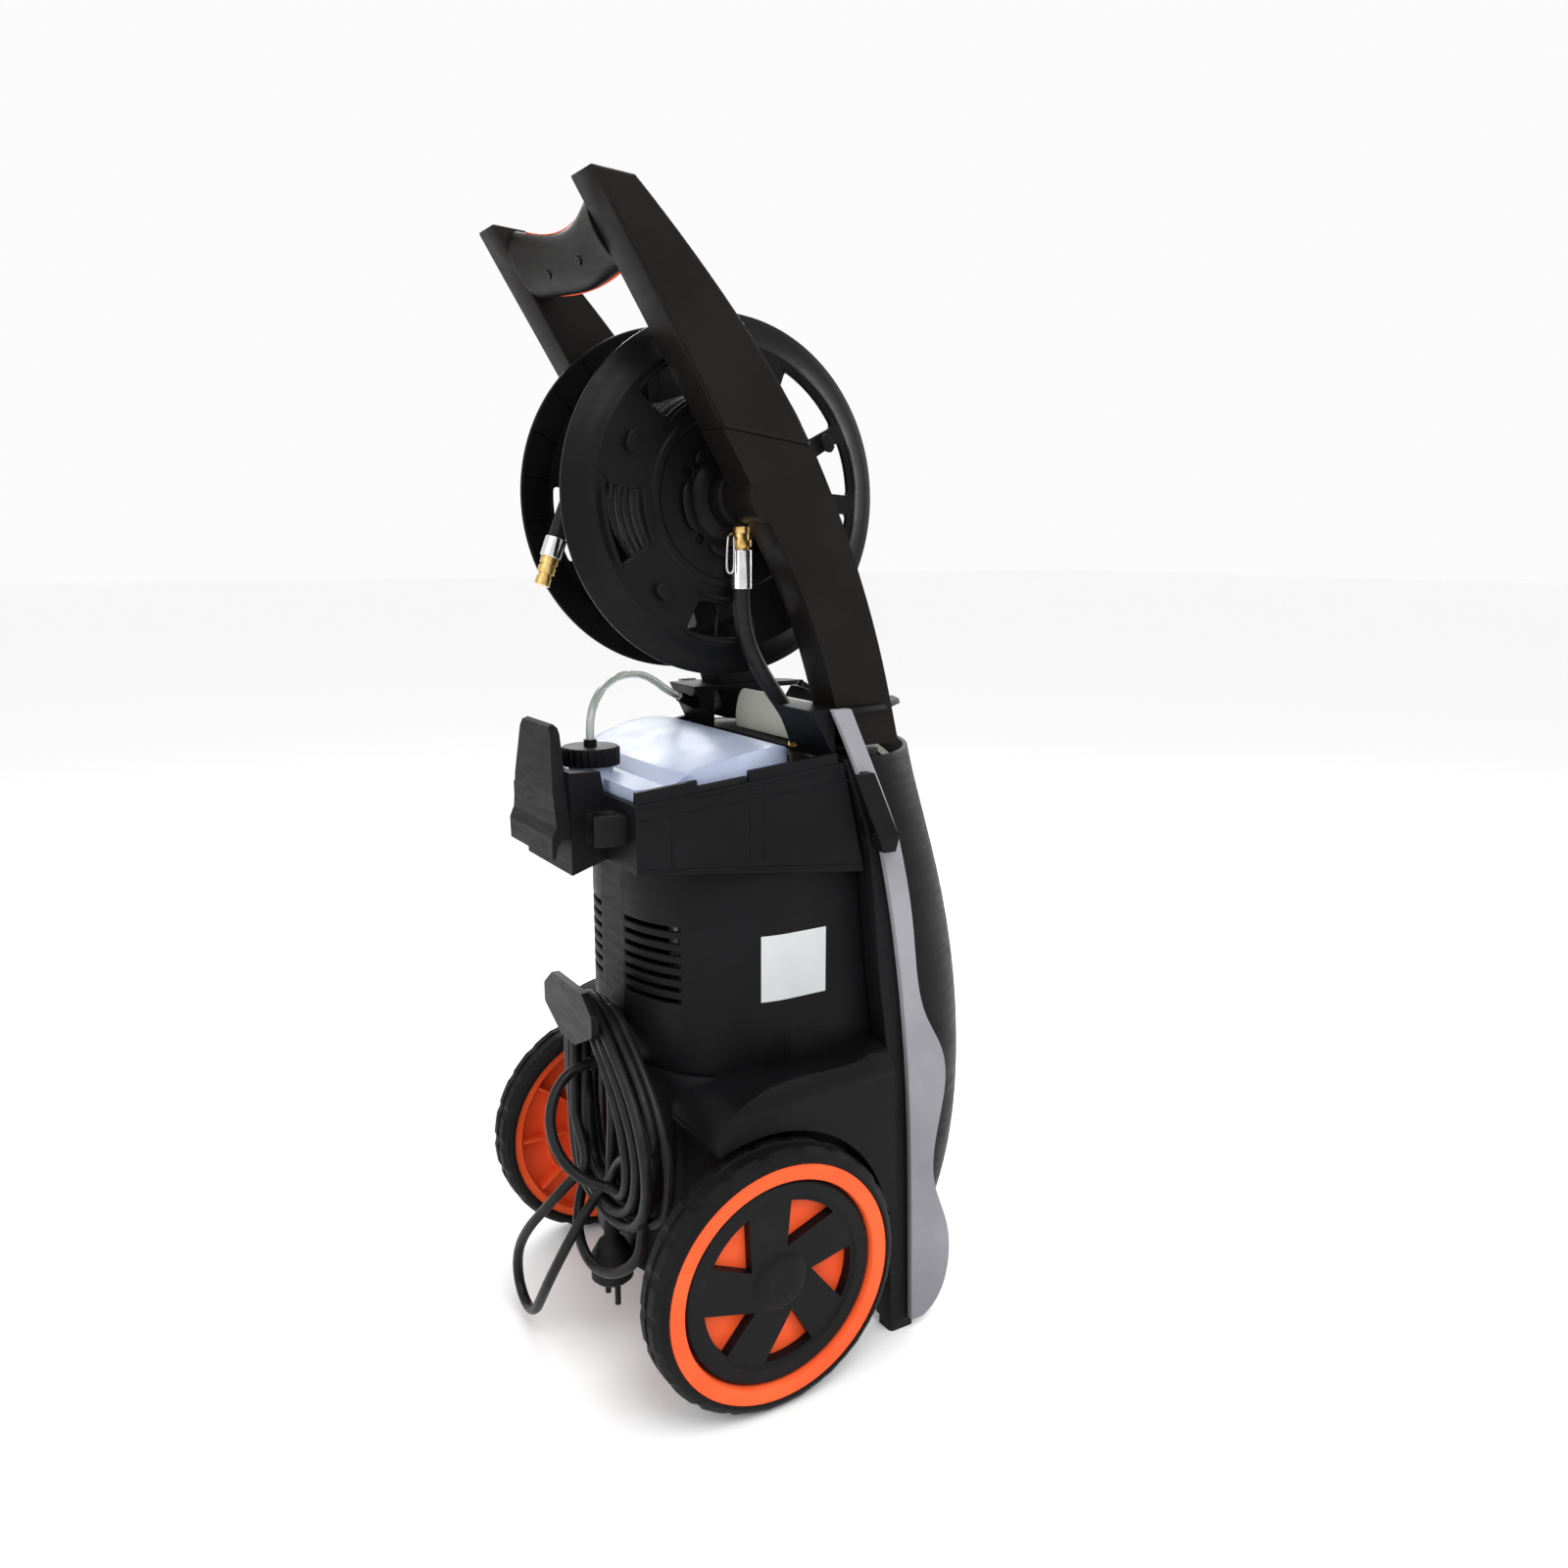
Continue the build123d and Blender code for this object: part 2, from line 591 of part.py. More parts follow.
# ---------------------------------------------------------------- grip between the arm tops
GRIP_TILT = 58.0
GRIP_NORMAL = (0, -math.sin(math.radians(GRIP_TILT)), math.cos(math.radians(GRIP_TILT)))
# distance from the middle, centre (y, z) and half axes of the oval section
GRIP_SECTIONS = [(73.8, 140, 850, 27, 13), (58, 137.5, 848.5, 24.5, 13), (0, 132, 843, 21.5, 14)]


def grip_bar(grow, reach):
    """Oval bar, bowed forwards in the middle."""
    stations = [s for s in GRIP_SECTIONS if s[0] <= reach]
    stations = [(-x, *rest) for x, *rest in stations if x > 0] + stations[::-1]
    faces = []
    for x, y, z, long_half, short_half in stations:
        with BuildSketch(Plane.YZ.offset(x)) as section:
            with Locations((y, z)):
                Ellipse(long_half + grow, short_half + grow, rotation=GRIP_TILT)
        faces.append(section.sketch)
    return loft(faces)


GRIP_PARTING = Plane(origin=(0, 133, 843), z_dir=GRIP_NORMAL)
with BuildPart() as grip_shell:
    grip_bar(0, 80)
    split(bisect_by=GRIP_PARTING, keep=Keep.BOTTOM)
    for x in (-28, 28):
        rod((x, 133 + 16, 843 - 10), (x, 133 + 7, 843 - 4.4), 3.2, mode=Mode.SUBTRACT)
save(grip_shell, "grip_shell")

with BuildPart() as grip_insert:
    grip_bar(0.8, 60)
    split(bisect_by=GRIP_PARTING.offset(0.2), keep=Keep.TOP)
save(grip_insert, "grip_insert")

# ---------------------------------------------------------------- hose reel
WINDOWS = [(-28, 5), (43, 77), (116, 148), (155, 178), (186, 220), (259, 293)]


def flange(side, sign):
    with BuildPart() as disc:
        turned(REEL_PLANE, REEL_AXIS, [
            (45.5, 12), (45.5, 108), (41, 116), (37, 131), (37, FLANGE_R), (40, FLANGE_R), (44, 119),
            (FLANGE_X, 111), (FLANGE_X, 68), (51, 66), (51, 62), (FLANGE_X, 60), (FLANGE_X, 34), (52, 30),
            (53.5, 24), (53.5, 12)], sign)
        for start, end in WINDOWS:
            middle = (start + end) / 2
            with BuildSketch(Plane(origin=(0, REEL_Y, REEL_Z), x_dir=(0, 1, 0), z_dir=(1, 0, 0))):
                with BuildLine():
                    outer = ThreePointArc(polar(104, start), polar(104, middle), polar(104, end))
                    inner = ThreePointArc(polar(78, start + 2), polar(78, middle), polar(78, end - 2))
                    Line(outer @ 0, inner @ 0)
                    Line(outer @ 1, inner @ 1)
                make_face()
                fillet(vertices(), 3)
            extrude(amount=sign * 70, mode=Mode.SUBTRACT)
        with BuildSketch(side_plane(sign, 40)):
            with Locations((REEL_Y, REEL_Z)):
                with PolarLocations(41.5, 5, start_angle=25):
                    Circle(4)
        extrude(amount=sign * 20, mode=Mode.SUBTRACT)
    save(disc, f"reel_flange_{side}")


for side, sign in SIDES.items():
    flange(side, sign)

with BuildPart() as reel_drum:
    turned(REEL_PLANE, REEL_AXIS,
           [(-45.3, 30), (-45.3, DRUM_R), (45.3, DRUM_R), (45.3, 30), (41, 30), (41, DRUM_R - 4),
            (-41, DRUM_R - 4), (-41, 30)])
save(reel_drum, "reel_drum")

with BuildPart() as reel_shaft:
    turned(REEL_PLANE, REEL_AXIS,
           [(-64, 0), (-64, 8), (-46, 8), (-46, 11.8), (56, 11.8), (56, SHAFT_R), (124, SHAFT_R),
            (124, 0)])
    turned(REEL_PLANE, REEL_AXIS, [(-40.9, 11.8), (-40.9, 29.8), (-37, 29.8), (-37, 11.8)])
    turned(REEL_PLANE, REEL_AXIS, [(37, 11.8), (37, 29.8), (40.9, 29.8), (40.9, 11.8)])
save(reel_shaft, "reel_shaft")

ELBOW_X = -61.0
with BuildPart() as swivel:
    turned(REEL_PLANE, REEL_AXIS, [(-54.2, 8 + RUN_FIT), (-54.2, 21), (-67.8, 21), (-67.8, 0), (-64.6, 0),
                                   (-64.6, 8 + RUN_FIT)])
    rod((ELBOW_X, REEL_Y, REEL_Z - 18), (ELBOW_X, REEL_Y, REEL_Z - 26), 6.5)
save(swivel, "swivel")

CRANK_REACH = 80.0
CRANK_ANGLE = -97.0
crank_y, crank_z = polar(CRANK_REACH, CRANK_ANGLE)
KNOB_Y, KNOB_Z = REEL_Y + crank_y, REEL_Z + crank_z
with BuildPart() as crank:
    with BuildSketch(Plane.YZ.offset(112)):
        with Locations((REEL_Y, REEL_Z)):
            Circle(17)
        with Locations((KNOB_Y, KNOB_Z)):
            Circle(12)
        make_hull()
        with Locations((REEL_Y, REEL_Z)):
            Circle(SHAFT_R, mode=Mode.SUBTRACT)
    extrude(amount=10)
    rod((121, KNOB_Y, KNOB_Z), (164, KNOB_Y, KNOB_Z), 4)
    rod((164, KNOB_Y, KNOB_Z), (167, KNOB_Y, KNOB_Z), 7)
save(crank, "crank")

KNOB_AXIS = Axis((0, KNOB_Y, KNOB_Z), (1, 0, 0))
KNOB_PLANE = Plane(origin=(0, KNOB_Y, KNOB_Z), x_dir=(1, 0, 0), z_dir=(0, -1, 0))
with BuildPart() as crank_knob:
    turned(KNOB_PLANE, KNOB_AXIS,
           [(122.5, 4 + RUN_FIT), (122.5, 9), (126, 12), (140, 10.5), (155, 13), (161, 12.5), (163.7, 9),
            (163.7, 4 + RUN_FIT)])
save(crank_knob, "crank_knob")

# ---------------------------------------------------------------- jumper hose from the deck to the reel
FERRULE_TOP, FERRULE_FOOT = REEL_Z - 38, REEL_Z - 67
DECK_TOP = 486.2
JUMPER = [(ELBOW_X, REEL_Y, FERRULE_FOOT), (ELBOW_X, REEL_Y, 590), (ELBOW_X, 29, 568), (-60, 17, 547),
          (-58, 2, 528), (-56, -12, 511), (-55, -19, 492)]
jumper_end = Vector(*JUMPER[-1])
jumper_dir = (jumper_end - Vector(*JUMPER[-2])).normalized()
with BuildPart() as hose_fittings:
    rod(JUMPER[-1], tuple(jumper_end + 14 * jumper_dir), 6.9)
    rod(tuple(jumper_end + 2 * jumper_dir), tuple(jumper_end + 14 * jumper_dir), 8.0)
    split(bisect_by=Plane.XY.offset(DECK_TOP), keep=Keep.TOP)
    rod((ELBOW_X, REEL_Y, REEL_Z - 26.2), (ELBOW_X, REEL_Y, FERRULE_TOP + 0.1), 6.0)
    rod((ELBOW_X, REEL_Y, REEL_Z - 31), (ELBOW_X, REEL_Y, REEL_Z - 36), 8.0)
save(hose_fittings, "hose_fittings")

with BuildPart() as jumper_ferrule:
    rod((ELBOW_X, REEL_Y, FERRULE_TOP), (ELBOW_X, REEL_Y, FERRULE_FOOT), 8.2)
    fillet(jumper_ferrule.edges(), 0.8)
save(jumper_ferrule, "jumper_ferrule")

cord_tube("jumper_hose", JUMPER, HOSE_R, 5 * 2 * HOSE_R)

# ---------------------------------------------------------------- high pressure hose on the reel
PACK_R = 80.0
leave_y, leave_z = polar(PACK_R - HOSE_R, 62)
TAIL = [(0, REEL_Y + leave_y, REEL_Z + leave_z), (0, 94, 730), (0, 118, 714), (0, 137, 692),
        (0, 149, 667), (0, 156, 648)]
hose_tail = cord_tube("hose_tail", TAIL, HOSE_R, 5 * 2 * HOSE_R)

with BuildPart() as hose_pack:
    turned(REEL_PLANE, REEL_AXIS,
           [(-44.8, DRUM_R + 0.3), (-44.8, PACK_R), (44.8, PACK_R), (44.8, DRUM_R + 0.3)])
    add(hose_tail.part, mode=Mode.SUBTRACT)
save(hose_pack, "hose_pack")

tail_end = Vector(*TAIL[-1])
tail_dir = (tail_end - Vector(*TAIL[-2])).normalized()


def along_tail(distance):
    return tuple(tail_end + distance * tail_dir)


with BuildPart() as tail_ferrule:
    rod(along_tail(0), along_tail(15), 8.0)
    fillet(tail_ferrule.edges(), 0.8)
save(tail_ferrule, "tail_ferrule")

with BuildPart() as tail_nipple:
    for start, end, radius in ((15.1, 20, 6.8), (20, 22, 5.4), (22, 27, 6.6), (27, 30, 4.9), (30, 36, 5.8)):
        rod(along_tail(start), along_tail(end), radius)
save(tail_nipple, "tail_nipple")

# ---------------------------------------------------------------- detergent tube
PORT_OUT = (79, 16, 514)
TUBE = [(0, CAP_Y, 497), (0, CAP_Y, 508), (4, 130, 520), (14, 120, 530), (29, 104, 537), (45, 84, 540),
        (59, 63, 538), (70, 45, 531), (77, 29, 520), PORT_OUT]
port_dir = (Vector(*PORT_OUT) - Vector(*TUBE[-2])).normalized()
cord_tube("detergent_tube", TUBE, TUBE_R, 3 * 2 * TUBE_R)

with BuildPart() as tube_port:
    rod(PORT_OUT, tuple(Vector(*PORT_OUT) + 20 * port_dir), 4.5)
    add(arm_sockets.part, mode=Mode.SUBTRACT)
save(tube_port, "tube_port")

# ---------------------------------------------------------------- mains lead, wound on its hook
HOOK_FLOOR, HOOK_TOP = 263.0, 272.0          # arm of the cable hook
# the hank fills the gap between the housing and the hook's plate
HANK_NEAR, HANK_FAR = 125.0, 152.0
with BuildPart() as cable_hook:
    with Locations((0, BODY_REAR + 0.5, HOOK_FLOOR)):
        Box(24, 35, HOOK_TOP - HOOK_FLOOR, align=(Align.CENTER, Align.MIN, Align.MIN))
    with BuildSketch(Plane.XZ.offset(-154)):
        with BuildLine():
            Polyline((-14, 259), (14, 259), (48, 276), (48, 292), (30, 306), (-30, 306), (-48, 292),
                     (-48, 276),
                     close=True)
        make_face()
        fillet(vertices(), 4)
    extrude(amount=-6)
save(cable_hook, "cable_hook")

LEAD_EXIT = (-2, 143, 235)
with BuildPart() as cord_gland:
    rod((LEAD_EXIT[0], BODY_REAR + 4.3, LEAD_EXIT[2]), (LEAD_EXIT[0], BODY_REAR + 7, LEAD_EXIT[2]), 8)
    with BuildSketch(Plane.XZ.offset(-(BODY_REAR + 6))) as root:
        with Locations((LEAD_EXIT[0], LEAD_EXIT[2])):
            Circle(7)
    with BuildSketch(Plane.XZ.offset(-LEAD_EXIT[1])) as tip:
        with Locations((LEAD_EXIT[0], LEAD_EXIT[2])):
            Circle(5.2)
    loft([root.sketch, tip.sketch])
save(cord_gland, "cord_gland")

LEAD_START = [LEAD_EXIT, (-2, 155, 234), (-4, 167, 228), (-8, 177, 217), (-14, 183, 203), (-22, 184, 188),
              (-31, 180, 174), (-40, 171, 162), (-47, 159, 155), (-51, 149, 152)]
cord_tube("lead_start", LEAD_START, CORD_R, 5 * 2 * CORD_R)

LEAD_LOOP = [(-6, 147, 150), (-3, 160, 141), (3, 171, 127), (15, 180, 109), (32, 187, 88), (48, 190, 65),
             (56, 190, 42), (50, 190, 24), (33, 190, 15), (15, 190, 22), (0, 190, 42), (-15, 188, 66),
             (-26, 182, 90), (-31, 173, 110), (-30, 161, 125), (-25, 148, 135)]
cord_tube("lead_loop", LEAD_LOOP, CORD_R, 5 * 2 * CORD_R)

LEAD_BIGHT = [(12, 143, 135), (10, 150, 115), (0, 157, 99), (-19, 162, 90), (-44, 164, 87), (-70, 161, 91),
              (-92, 154, 105), (-104, 146, 125)]
cord_tube("lead_bight", LEAD_BIGHT, CORD_R, 5 * 2 * CORD_R)

# outer shape of the wound lead, hanging over the arm of the hook
with BuildPart() as cord_hank:
    with BuildSketch(Plane.XZ.offset(-HANK_NEAR)) as outline:
        with BuildLine():
            Spline((0, 298), (24, 286), (34, 240), (33, 180), (26, 130), (-10, 119), (-60, 118),
                   (-100, 127),
                   (-120, 160), (-120, 198), (-98, 240), (-55, 275), (-22, 295), periodic=True)
        make_face()
    extrude(amount=HANK_NEAR - HANK_FAR)
    with BuildSketch(Plane.XZ.offset(-HANK_NEAR + 10)):
        with BuildLine():
            Polyline((-13.5, 272.5), (13.5, 272.5), (13.5, 250), (8.5, 224), (-2, 214), (-13, 222),
                     (-17, 250), close=True)
        make_face()
    extrude(amount=-60, mode=Mode.SUBTRACT)
save(cord_hank, "cord_hank")

PLUG_X, PLUG_Y = -30.0, 140.0
with BuildPart() as power_plug:
    plug_plane = Plane(origin=(PLUG_X, PLUG_Y, 0), x_dir=(1, 0, 0), z_dir=(0, -1, 0))
    with BuildSketch(plug_plane) as plug_profile:
        with BuildLine():
            Polyline((0, 60), (14, 60), (17, 63), (17, 82), (11, 93), (6.5, 97), (5.2, 119.5),
                     (0, 119.5), close=True)
        make_face()
    revolve(plug_profile.sketch, axis=Axis((PLUG_X, PLUG_Y, 0), (0, 0, 1)))
    for offset in (-9.5, 9.5):
        rod((PLUG_X + offset, PLUG_Y, 61), (PLUG_X + offset, PLUG_Y, 42), 2.4)
save(power_plug, "power_plug")

# ---------------------------------------------------------------- motor, pump and water inlet
MOTOR_Y = 5.0
MOTOR_PLANE = Plane(origin=(0, MOTOR_Y, 0), x_dir=(1, 0, 0), z_dir=(0, -1, 0))
MOTOR_AXIS = Axis((0, MOTOR_Y, 0), (0, 0, 1))
ROTOR_SHAFT_R = 7.0
INLET_Z = 128.0
INLET_R = 13.2
INLET_END = -184.5


def turned_upright(points):
    """Solid turned about the motor axis from (radius, height) points."""
    with BuildSketch(MOTOR_PLANE) as profile:
        with BuildLine():
            Polyline(*points, close=True)
        make_face()
    revolve(profile.sketch, axis=MOTOR_AXIS)


with BuildPart() as pump:
    bore = ROTOR_SHAFT_R + RUN_FIT
    turned_upright([(0, 66.3), (50, 66.3), (50, 84), (44, 90), (44, 196), (58, 204), (58, 255),
                    (bore, 255), (bore, 212), (0, 212)])
    rod((0, MOTOR_Y, INLET_Z), (0, -70, INLET_Z), 20)
    rod((0, -60, 172), (0, -78, 172), 11)
    rod((0, MOTOR_Y, 172), (0, -62, 172), 16)
save(pump, "pump")

with BuildPart() as water_inlet:
    rod((0, -70.3, INLET_Z), (0, -162, INLET_Z), 9)
    rod((0, -160, INLET_Z), (0, INLET_END, INLET_Z), INLET_R)
    rod((0, -150, INLET_Z), (0, INLET_END - 1, INLET_Z), 5.5, mode=Mode.SUBTRACT)
save(water_inlet, "water_inlet")

with BuildPart() as motor_stator:
    turned_upright([(36, 255.3), (58, 255.3), (58, 380), (bore, 380), (bore, 373), (50, 373), (50, 366),
                    (36, 366)])
save(motor_stator, "motor_stator")

with BuildPart() as motor_rotor:
    turned_upright([(0, 214), (ROTOR_SHAFT_R, 214), (ROTOR_SHAFT_R, 262), (35.2, 262), (35.2, 364),
                    (ROTOR_SHAFT_R, 364), (ROTOR_SHAFT_R, 386), (12, 386), (12, 388), (44, 388),
                    (44, 391), (12, 391), (12, 402), (0, 402)])
    with BuildSketch(Plane.XY.offset(390.5)):
        with Locations((0, MOTOR_Y)):
            with PolarLocations(27, 9):
                Rectangle(32, 2)
    extrude(amount=10)
save(motor_rotor, "motor_rotor")
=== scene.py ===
"""Looks of the upright pressure washer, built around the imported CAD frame. All sizes are in metres."""

import math
import random

import bmesh
import bpy
from mathutils import Matrix, Vector


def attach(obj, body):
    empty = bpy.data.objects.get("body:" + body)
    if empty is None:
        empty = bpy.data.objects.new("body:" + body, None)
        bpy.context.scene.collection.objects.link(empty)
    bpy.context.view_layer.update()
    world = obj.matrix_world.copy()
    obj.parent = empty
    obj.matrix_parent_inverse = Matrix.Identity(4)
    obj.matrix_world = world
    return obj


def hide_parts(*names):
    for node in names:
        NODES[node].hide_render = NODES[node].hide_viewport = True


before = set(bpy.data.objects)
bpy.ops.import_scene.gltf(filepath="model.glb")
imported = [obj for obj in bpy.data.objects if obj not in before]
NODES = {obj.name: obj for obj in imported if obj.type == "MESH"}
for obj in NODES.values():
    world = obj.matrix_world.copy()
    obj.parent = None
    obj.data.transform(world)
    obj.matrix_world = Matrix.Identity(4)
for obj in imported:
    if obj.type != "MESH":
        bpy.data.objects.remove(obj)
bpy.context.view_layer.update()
MM = 0.001

# ---------------------------------------------------------------- camera
CAMERA_AT = Vector((-0.87788, 0.50829, 0.64731))
YAW, PITCH, ROLL = math.radians(32.05), math.radians(11.097), math.radians(0.148)
LENS_MM = 28.6


def make_camera():
    camera = bpy.data.objects.new("camera", bpy.data.cameras.new("camera"))
    bpy.context.scene.collection.objects.link(camera)
    camera.data.lens = LENS_MM
    camera.data.sensor_width = 36.0
    ahead = Vector((math.cos(YAW) * math.cos(PITCH), -math.sin(YAW) * math.cos(PITCH), -math.sin(PITCH)))
    turn = ahead.to_track_quat("-Z", "Y").to_matrix().to_4x4() @ Matrix.Rotation(ROLL, 4, "Z")
    camera.matrix_world = Matrix.Translation(CAMERA_AT) @ turn
    bpy.context.scene.camera = camera


make_camera()

# ---------------------------------------------------------------- materials
def srgb(red, green, blue):
    """Linear colour from 0 to 255 display values."""
    return tuple(((v / 255 + 0.055) / 1.055) ** 2.4 if v > 10 else v / 255 / 12.92 for v in (red, green,
                                                                                             blue))


class Nodes:
    """Small helper that adds and links shader nodes."""

    def __init__(self, name):
        self.material = bpy.data.materials.new(name)
        self.material.use_nodes = True
        self.tree = self.material.node_tree
        self.shader = self.tree.nodes["Principled BSDF"]
        self.place = self.add("ShaderNodeTexCoord").outputs["Object"]

    def add(self, kind, **values):
        node = self.tree.nodes.new(kind)
        for key, value in values.items():
            if key in node.inputs:
                node.inputs[key].default_value = value
            else:
                setattr(node, key, value)
        return node

    def link(self, output, socket):
        self.tree.links.new(output, socket)

    def noise(self, scale, detail=3.0, stretch=None, roughness=0.55):
        node = self.add("ShaderNodeTexNoise", Scale=scale, Detail=detail, Roughness=roughness)
        where = self.place
        if stretch:
            mapping = self.add("ShaderNodeMapping")
            mapping.inputs["Scale"].default_value = stretch
            self.link(where, mapping.inputs["Vector"])
            where = mapping.outputs["Vector"]
        self.link(where, node.inputs["Vector"])
        return node.outputs["Fac"]

    def ramp(self, source, low, high, start, end):
        """Colour or grey ramp from start to end between two positions."""
        node = self.add("ShaderNodeValToRGB")
        for element, position, value in zip(node.color_ramp.elements, (low, high), (start, end)):
            element.position = position
            element.color = (*value, 1) if len(value) == 3 else value
        self.link(source, node.inputs["Fac"])
        return node.outputs["Color"]

    def mix(self, factor, first, second):
        node = self.add("ShaderNodeMix", data_type="RGBA")
        for value, socket in ((factor, node.inputs[0]), (first, node.inputs[6]), (second, node.inputs[7])):
            if isinstance(value, (float, int)):
                socket.default_value = value
            elif isinstance(value, tuple):
                socket.default_value = (*value, 1)
            else:
                self.link(value, socket)
        return node.outputs[2]

    def edges(self, radius):
        """White where an edge is within the radius."""
        bevel = self.add("ShaderNodeBevel", samples=4)
        bevel.inputs["Radius"].default_value = radius
        plain = self.add("ShaderNodeNewGeometry").outputs["Normal"]
        dot = self.add("ShaderNodeVectorMath", operation="DOT_PRODUCT")
        self.link(bevel.outputs["Normal"], dot.inputs[0])
        self.link(plain, dot.inputs[1])
        return self.ramp(dot.outputs["Value"], 0.80, 0.985, (1, 1, 1), (0, 0, 0))

    def bump(self, height, strength, distance, normal=None):
        node = self.add("ShaderNodeBump", Strength=strength, Distance=distance)
        self.link(height, node.inputs["Height"])
        if normal is not None:
            self.link(normal, node.inputs["Normal"])
        return node.outputs["Normal"]


def plastic(name, dark, light, rough=(0.42, 0.58), grain=1400.0, grain_depth=0.00006, edge_glint=0.35, glint_colour=None):
    """Moulded plastic: uneven tone, fine sparked grain, scuffs in the roughness and a painted highlight on
    its edges, broken up in patches.
    """
    n = Nodes(name)
    tone = n.ramp(n.noise(9.0, 4.0), 0.35, 0.68, dark, light)
    # painted highlight: edges get a paler tone where the bevel edge mask meets patchy noise
    if edge_glint:
        glint_tone = glint_colour or tuple(min(1, 2.0 * c + 0.006) for c in light)
        patchy = n.ramp(n.noise(55.0, 3.0), 0.40, 0.62, (0, 0, 0), (edge_glint, edge_glint, edge_glint))
        amount = n.add("ShaderNodeMath", operation="MULTIPLY")
        n.link(n.edges(0.0011), amount.inputs[0])
        n.link(patchy, amount.inputs[1])
        tone = n.mix(amount.outputs[0], tone, glint_tone)
    n.link(tone, n.shader.inputs["Base Color"])
    scuffs = n.noise(34.0, 6.0, stretch=(1, 1, 5), roughness=0.7)
    n.link(n.ramp(scuffs, 0.36, 0.70, (rough[0],) * 3, (rough[1],) * 3), n.shader.inputs["Roughness"])
    fine = n.bump(n.noise(grain, 2.0), 0.55, grain_depth)
    n.link(n.bump(n.noise(26.0, 2.0), 0.10, 0.0006, fine), n.shader.inputs["Normal"])
    n.shader.inputs["Specular IOR Level"].default_value = 0.1
    return n.material


def metal(name, dark, light, rough=(0.22, 0.38), brushed=(1, 1, 1)):
    """Plated or machined metal with fine turning marks and a little tarnish."""
    n = Nodes(name)
    n.shader.inputs["Metallic"].default_value = 1.0
    n.link(n.ramp(n.noise(120.0, 5.0), 0.38, 0.66, dark, light), n.shader.inputs["Base Color"])
    marks = n.noise(700.0, 3.0, stretch=brushed)
    n.link(n.ramp(marks, 0.3, 0.7, (rough[0],) * 3, (rough[1],) * 3), n.shader.inputs["Roughness"])
    n.link(n.bump(marks, 0.25, 0.00005), n.shader.inputs["Normal"])
    return n.material


def rubber(name, dark, light, rough=(0.34, 0.5)):
    """Extruded or moulded rubber, a little glossy along its length."""
    n = Nodes(name)
    n.link(n.ramp(n.noise(60.0, 4.0), 0.35, 0.7, dark, light), n.shader.inputs["Base Color"])
    n.link(n.ramp(n.noise(160.0, 5.0), 0.35, 0.7, (rough[0],) * 3, (rough[1],) * 3),
           n.shader.inputs["Roughness"])
    n.link(n.bump(n.noise(900.0, 3.0), 0.4, 0.00005), n.shader.inputs["Normal"])
    n.shader.inputs["Specular IOR Level"].default_value = 0.16
    return n.material


def translucent(name, dark, light, depth, rough, transmission):
    """Translucent moulded polyethylene or clear soft tube."""
    n = Nodes(name)
    n.link(n.ramp(n.noise(14.0, 3.0), 0.3, 0.7, dark, light), n.shader.inputs["Base Color"])
    n.link(n.ramp(n.noise(45.0, 4.0), 0.35, 0.7, (rough - 0.06,) * 3, (rough + 0.08,) * 3),
           n.shader.inputs["Roughness"])
    n.link(n.bump(n.noise(420.0, 2.0), 0.25, 0.0001), n.shader.inputs["Normal"])
    n.shader.inputs["Transmission Weight"].default_value = transmission
    n.shader.inputs["Subsurface Weight"].default_value = 0.35
    n.shader.inputs["Subsurface Radius"].default_value = (depth, depth, depth)
    n.shader.inputs["IOR"].default_value = 1.45
    return n.material


# the edge strength and edge colour arguments below set each plastic's painted edge highlight
BODY = plastic("body_black", srgb(9, 9, 10), srgb(16, 16, 18))
ARM = plastic("arm_black", srgb(15, 13, 12), srgb(23, 20, 19), rough=(0.34, 0.46), grain_depth=0.00003)
TRIM = plastic("trim_black", srgb(10, 10, 11), srgb(17, 17, 18), rough=(0.32, 0.46))
STRIP = plastic("strip_grey", srgb(118, 118, 123), srgb(138, 138, 143), rough=(0.38, 0.5), edge_glint=0.2,
                glint_colour=srgb(190, 190, 194))
PANEL = plastic("panel_light", srgb(178, 178, 168), srgb(196, 196, 186), rough=(0.4, 0.52), edge_glint=0.15,
                glint_colour=srgb(215, 215, 208))
LABEL = plastic("label_film", srgb(172, 175, 175), srgb(190, 193, 193), rough=(0.22, 0.34),
                grain_depth=0.00001, edge_glint=0)
ORANGE = plastic("orange", srgb(226, 78, 38), srgb(240, 98, 52), rough=(0.3, 0.42), edge_glint=0.15,
                 glint_colour=srgb(250, 150, 110))
WHEEL = plastic("wheel_dark", srgb(11, 11, 12), srgb(19, 19, 21), rough=(0.36, 0.5))
TREAD = plastic("tyre_black", srgb(10, 10, 11), srgb(19, 19, 20), rough=(0.5, 0.68), grain_depth=0.00012,
                edge_glint=0.5)
RUBBER = rubber("rubber_black", srgb(14, 14, 15), srgb(22, 22, 23), rough=(0.5, 0.66))
HOSE = rubber("hose_black", srgb(16, 16, 17), srgb(27, 27, 29))
CORD = rubber("cord_black", srgb(15, 15, 16), srgb(27, 27, 28), rough=(0.3, 0.44))
STEEL = metal("steel", (0.45, 0.45, 0.46), (0.62, 0.62, 0.63), brushed=(8, 1, 1))
STEEL_BLACK = metal("steel_blackened", (0.03, 0.03, 0.032), (0.06, 0.06, 0.062), rough=(0.35, 0.5))
CHROME = metal("chrome", (0.62, 0.62, 0.63), (0.8, 0.8, 0.81), rough=(0.12, 0.24))
BRASS = metal("brass", (0.52, 0.33, 0.10), (0.72, 0.50, 0.20), rough=(0.25, 0.4))
ALLOY = metal("alloy", (0.38, 0.38, 0.39), (0.5, 0.5, 0.51), rough=(0.45, 0.6))
TANK = translucent("tank_poly", srgb(158, 170, 198), srgb(184, 194, 216), 0.012, 0.34, 0.25)
TUBE = translucent("tube_clear", srgb(150, 158, 150), srgb(200, 206, 200), 0.002, 0.18, 0.6)

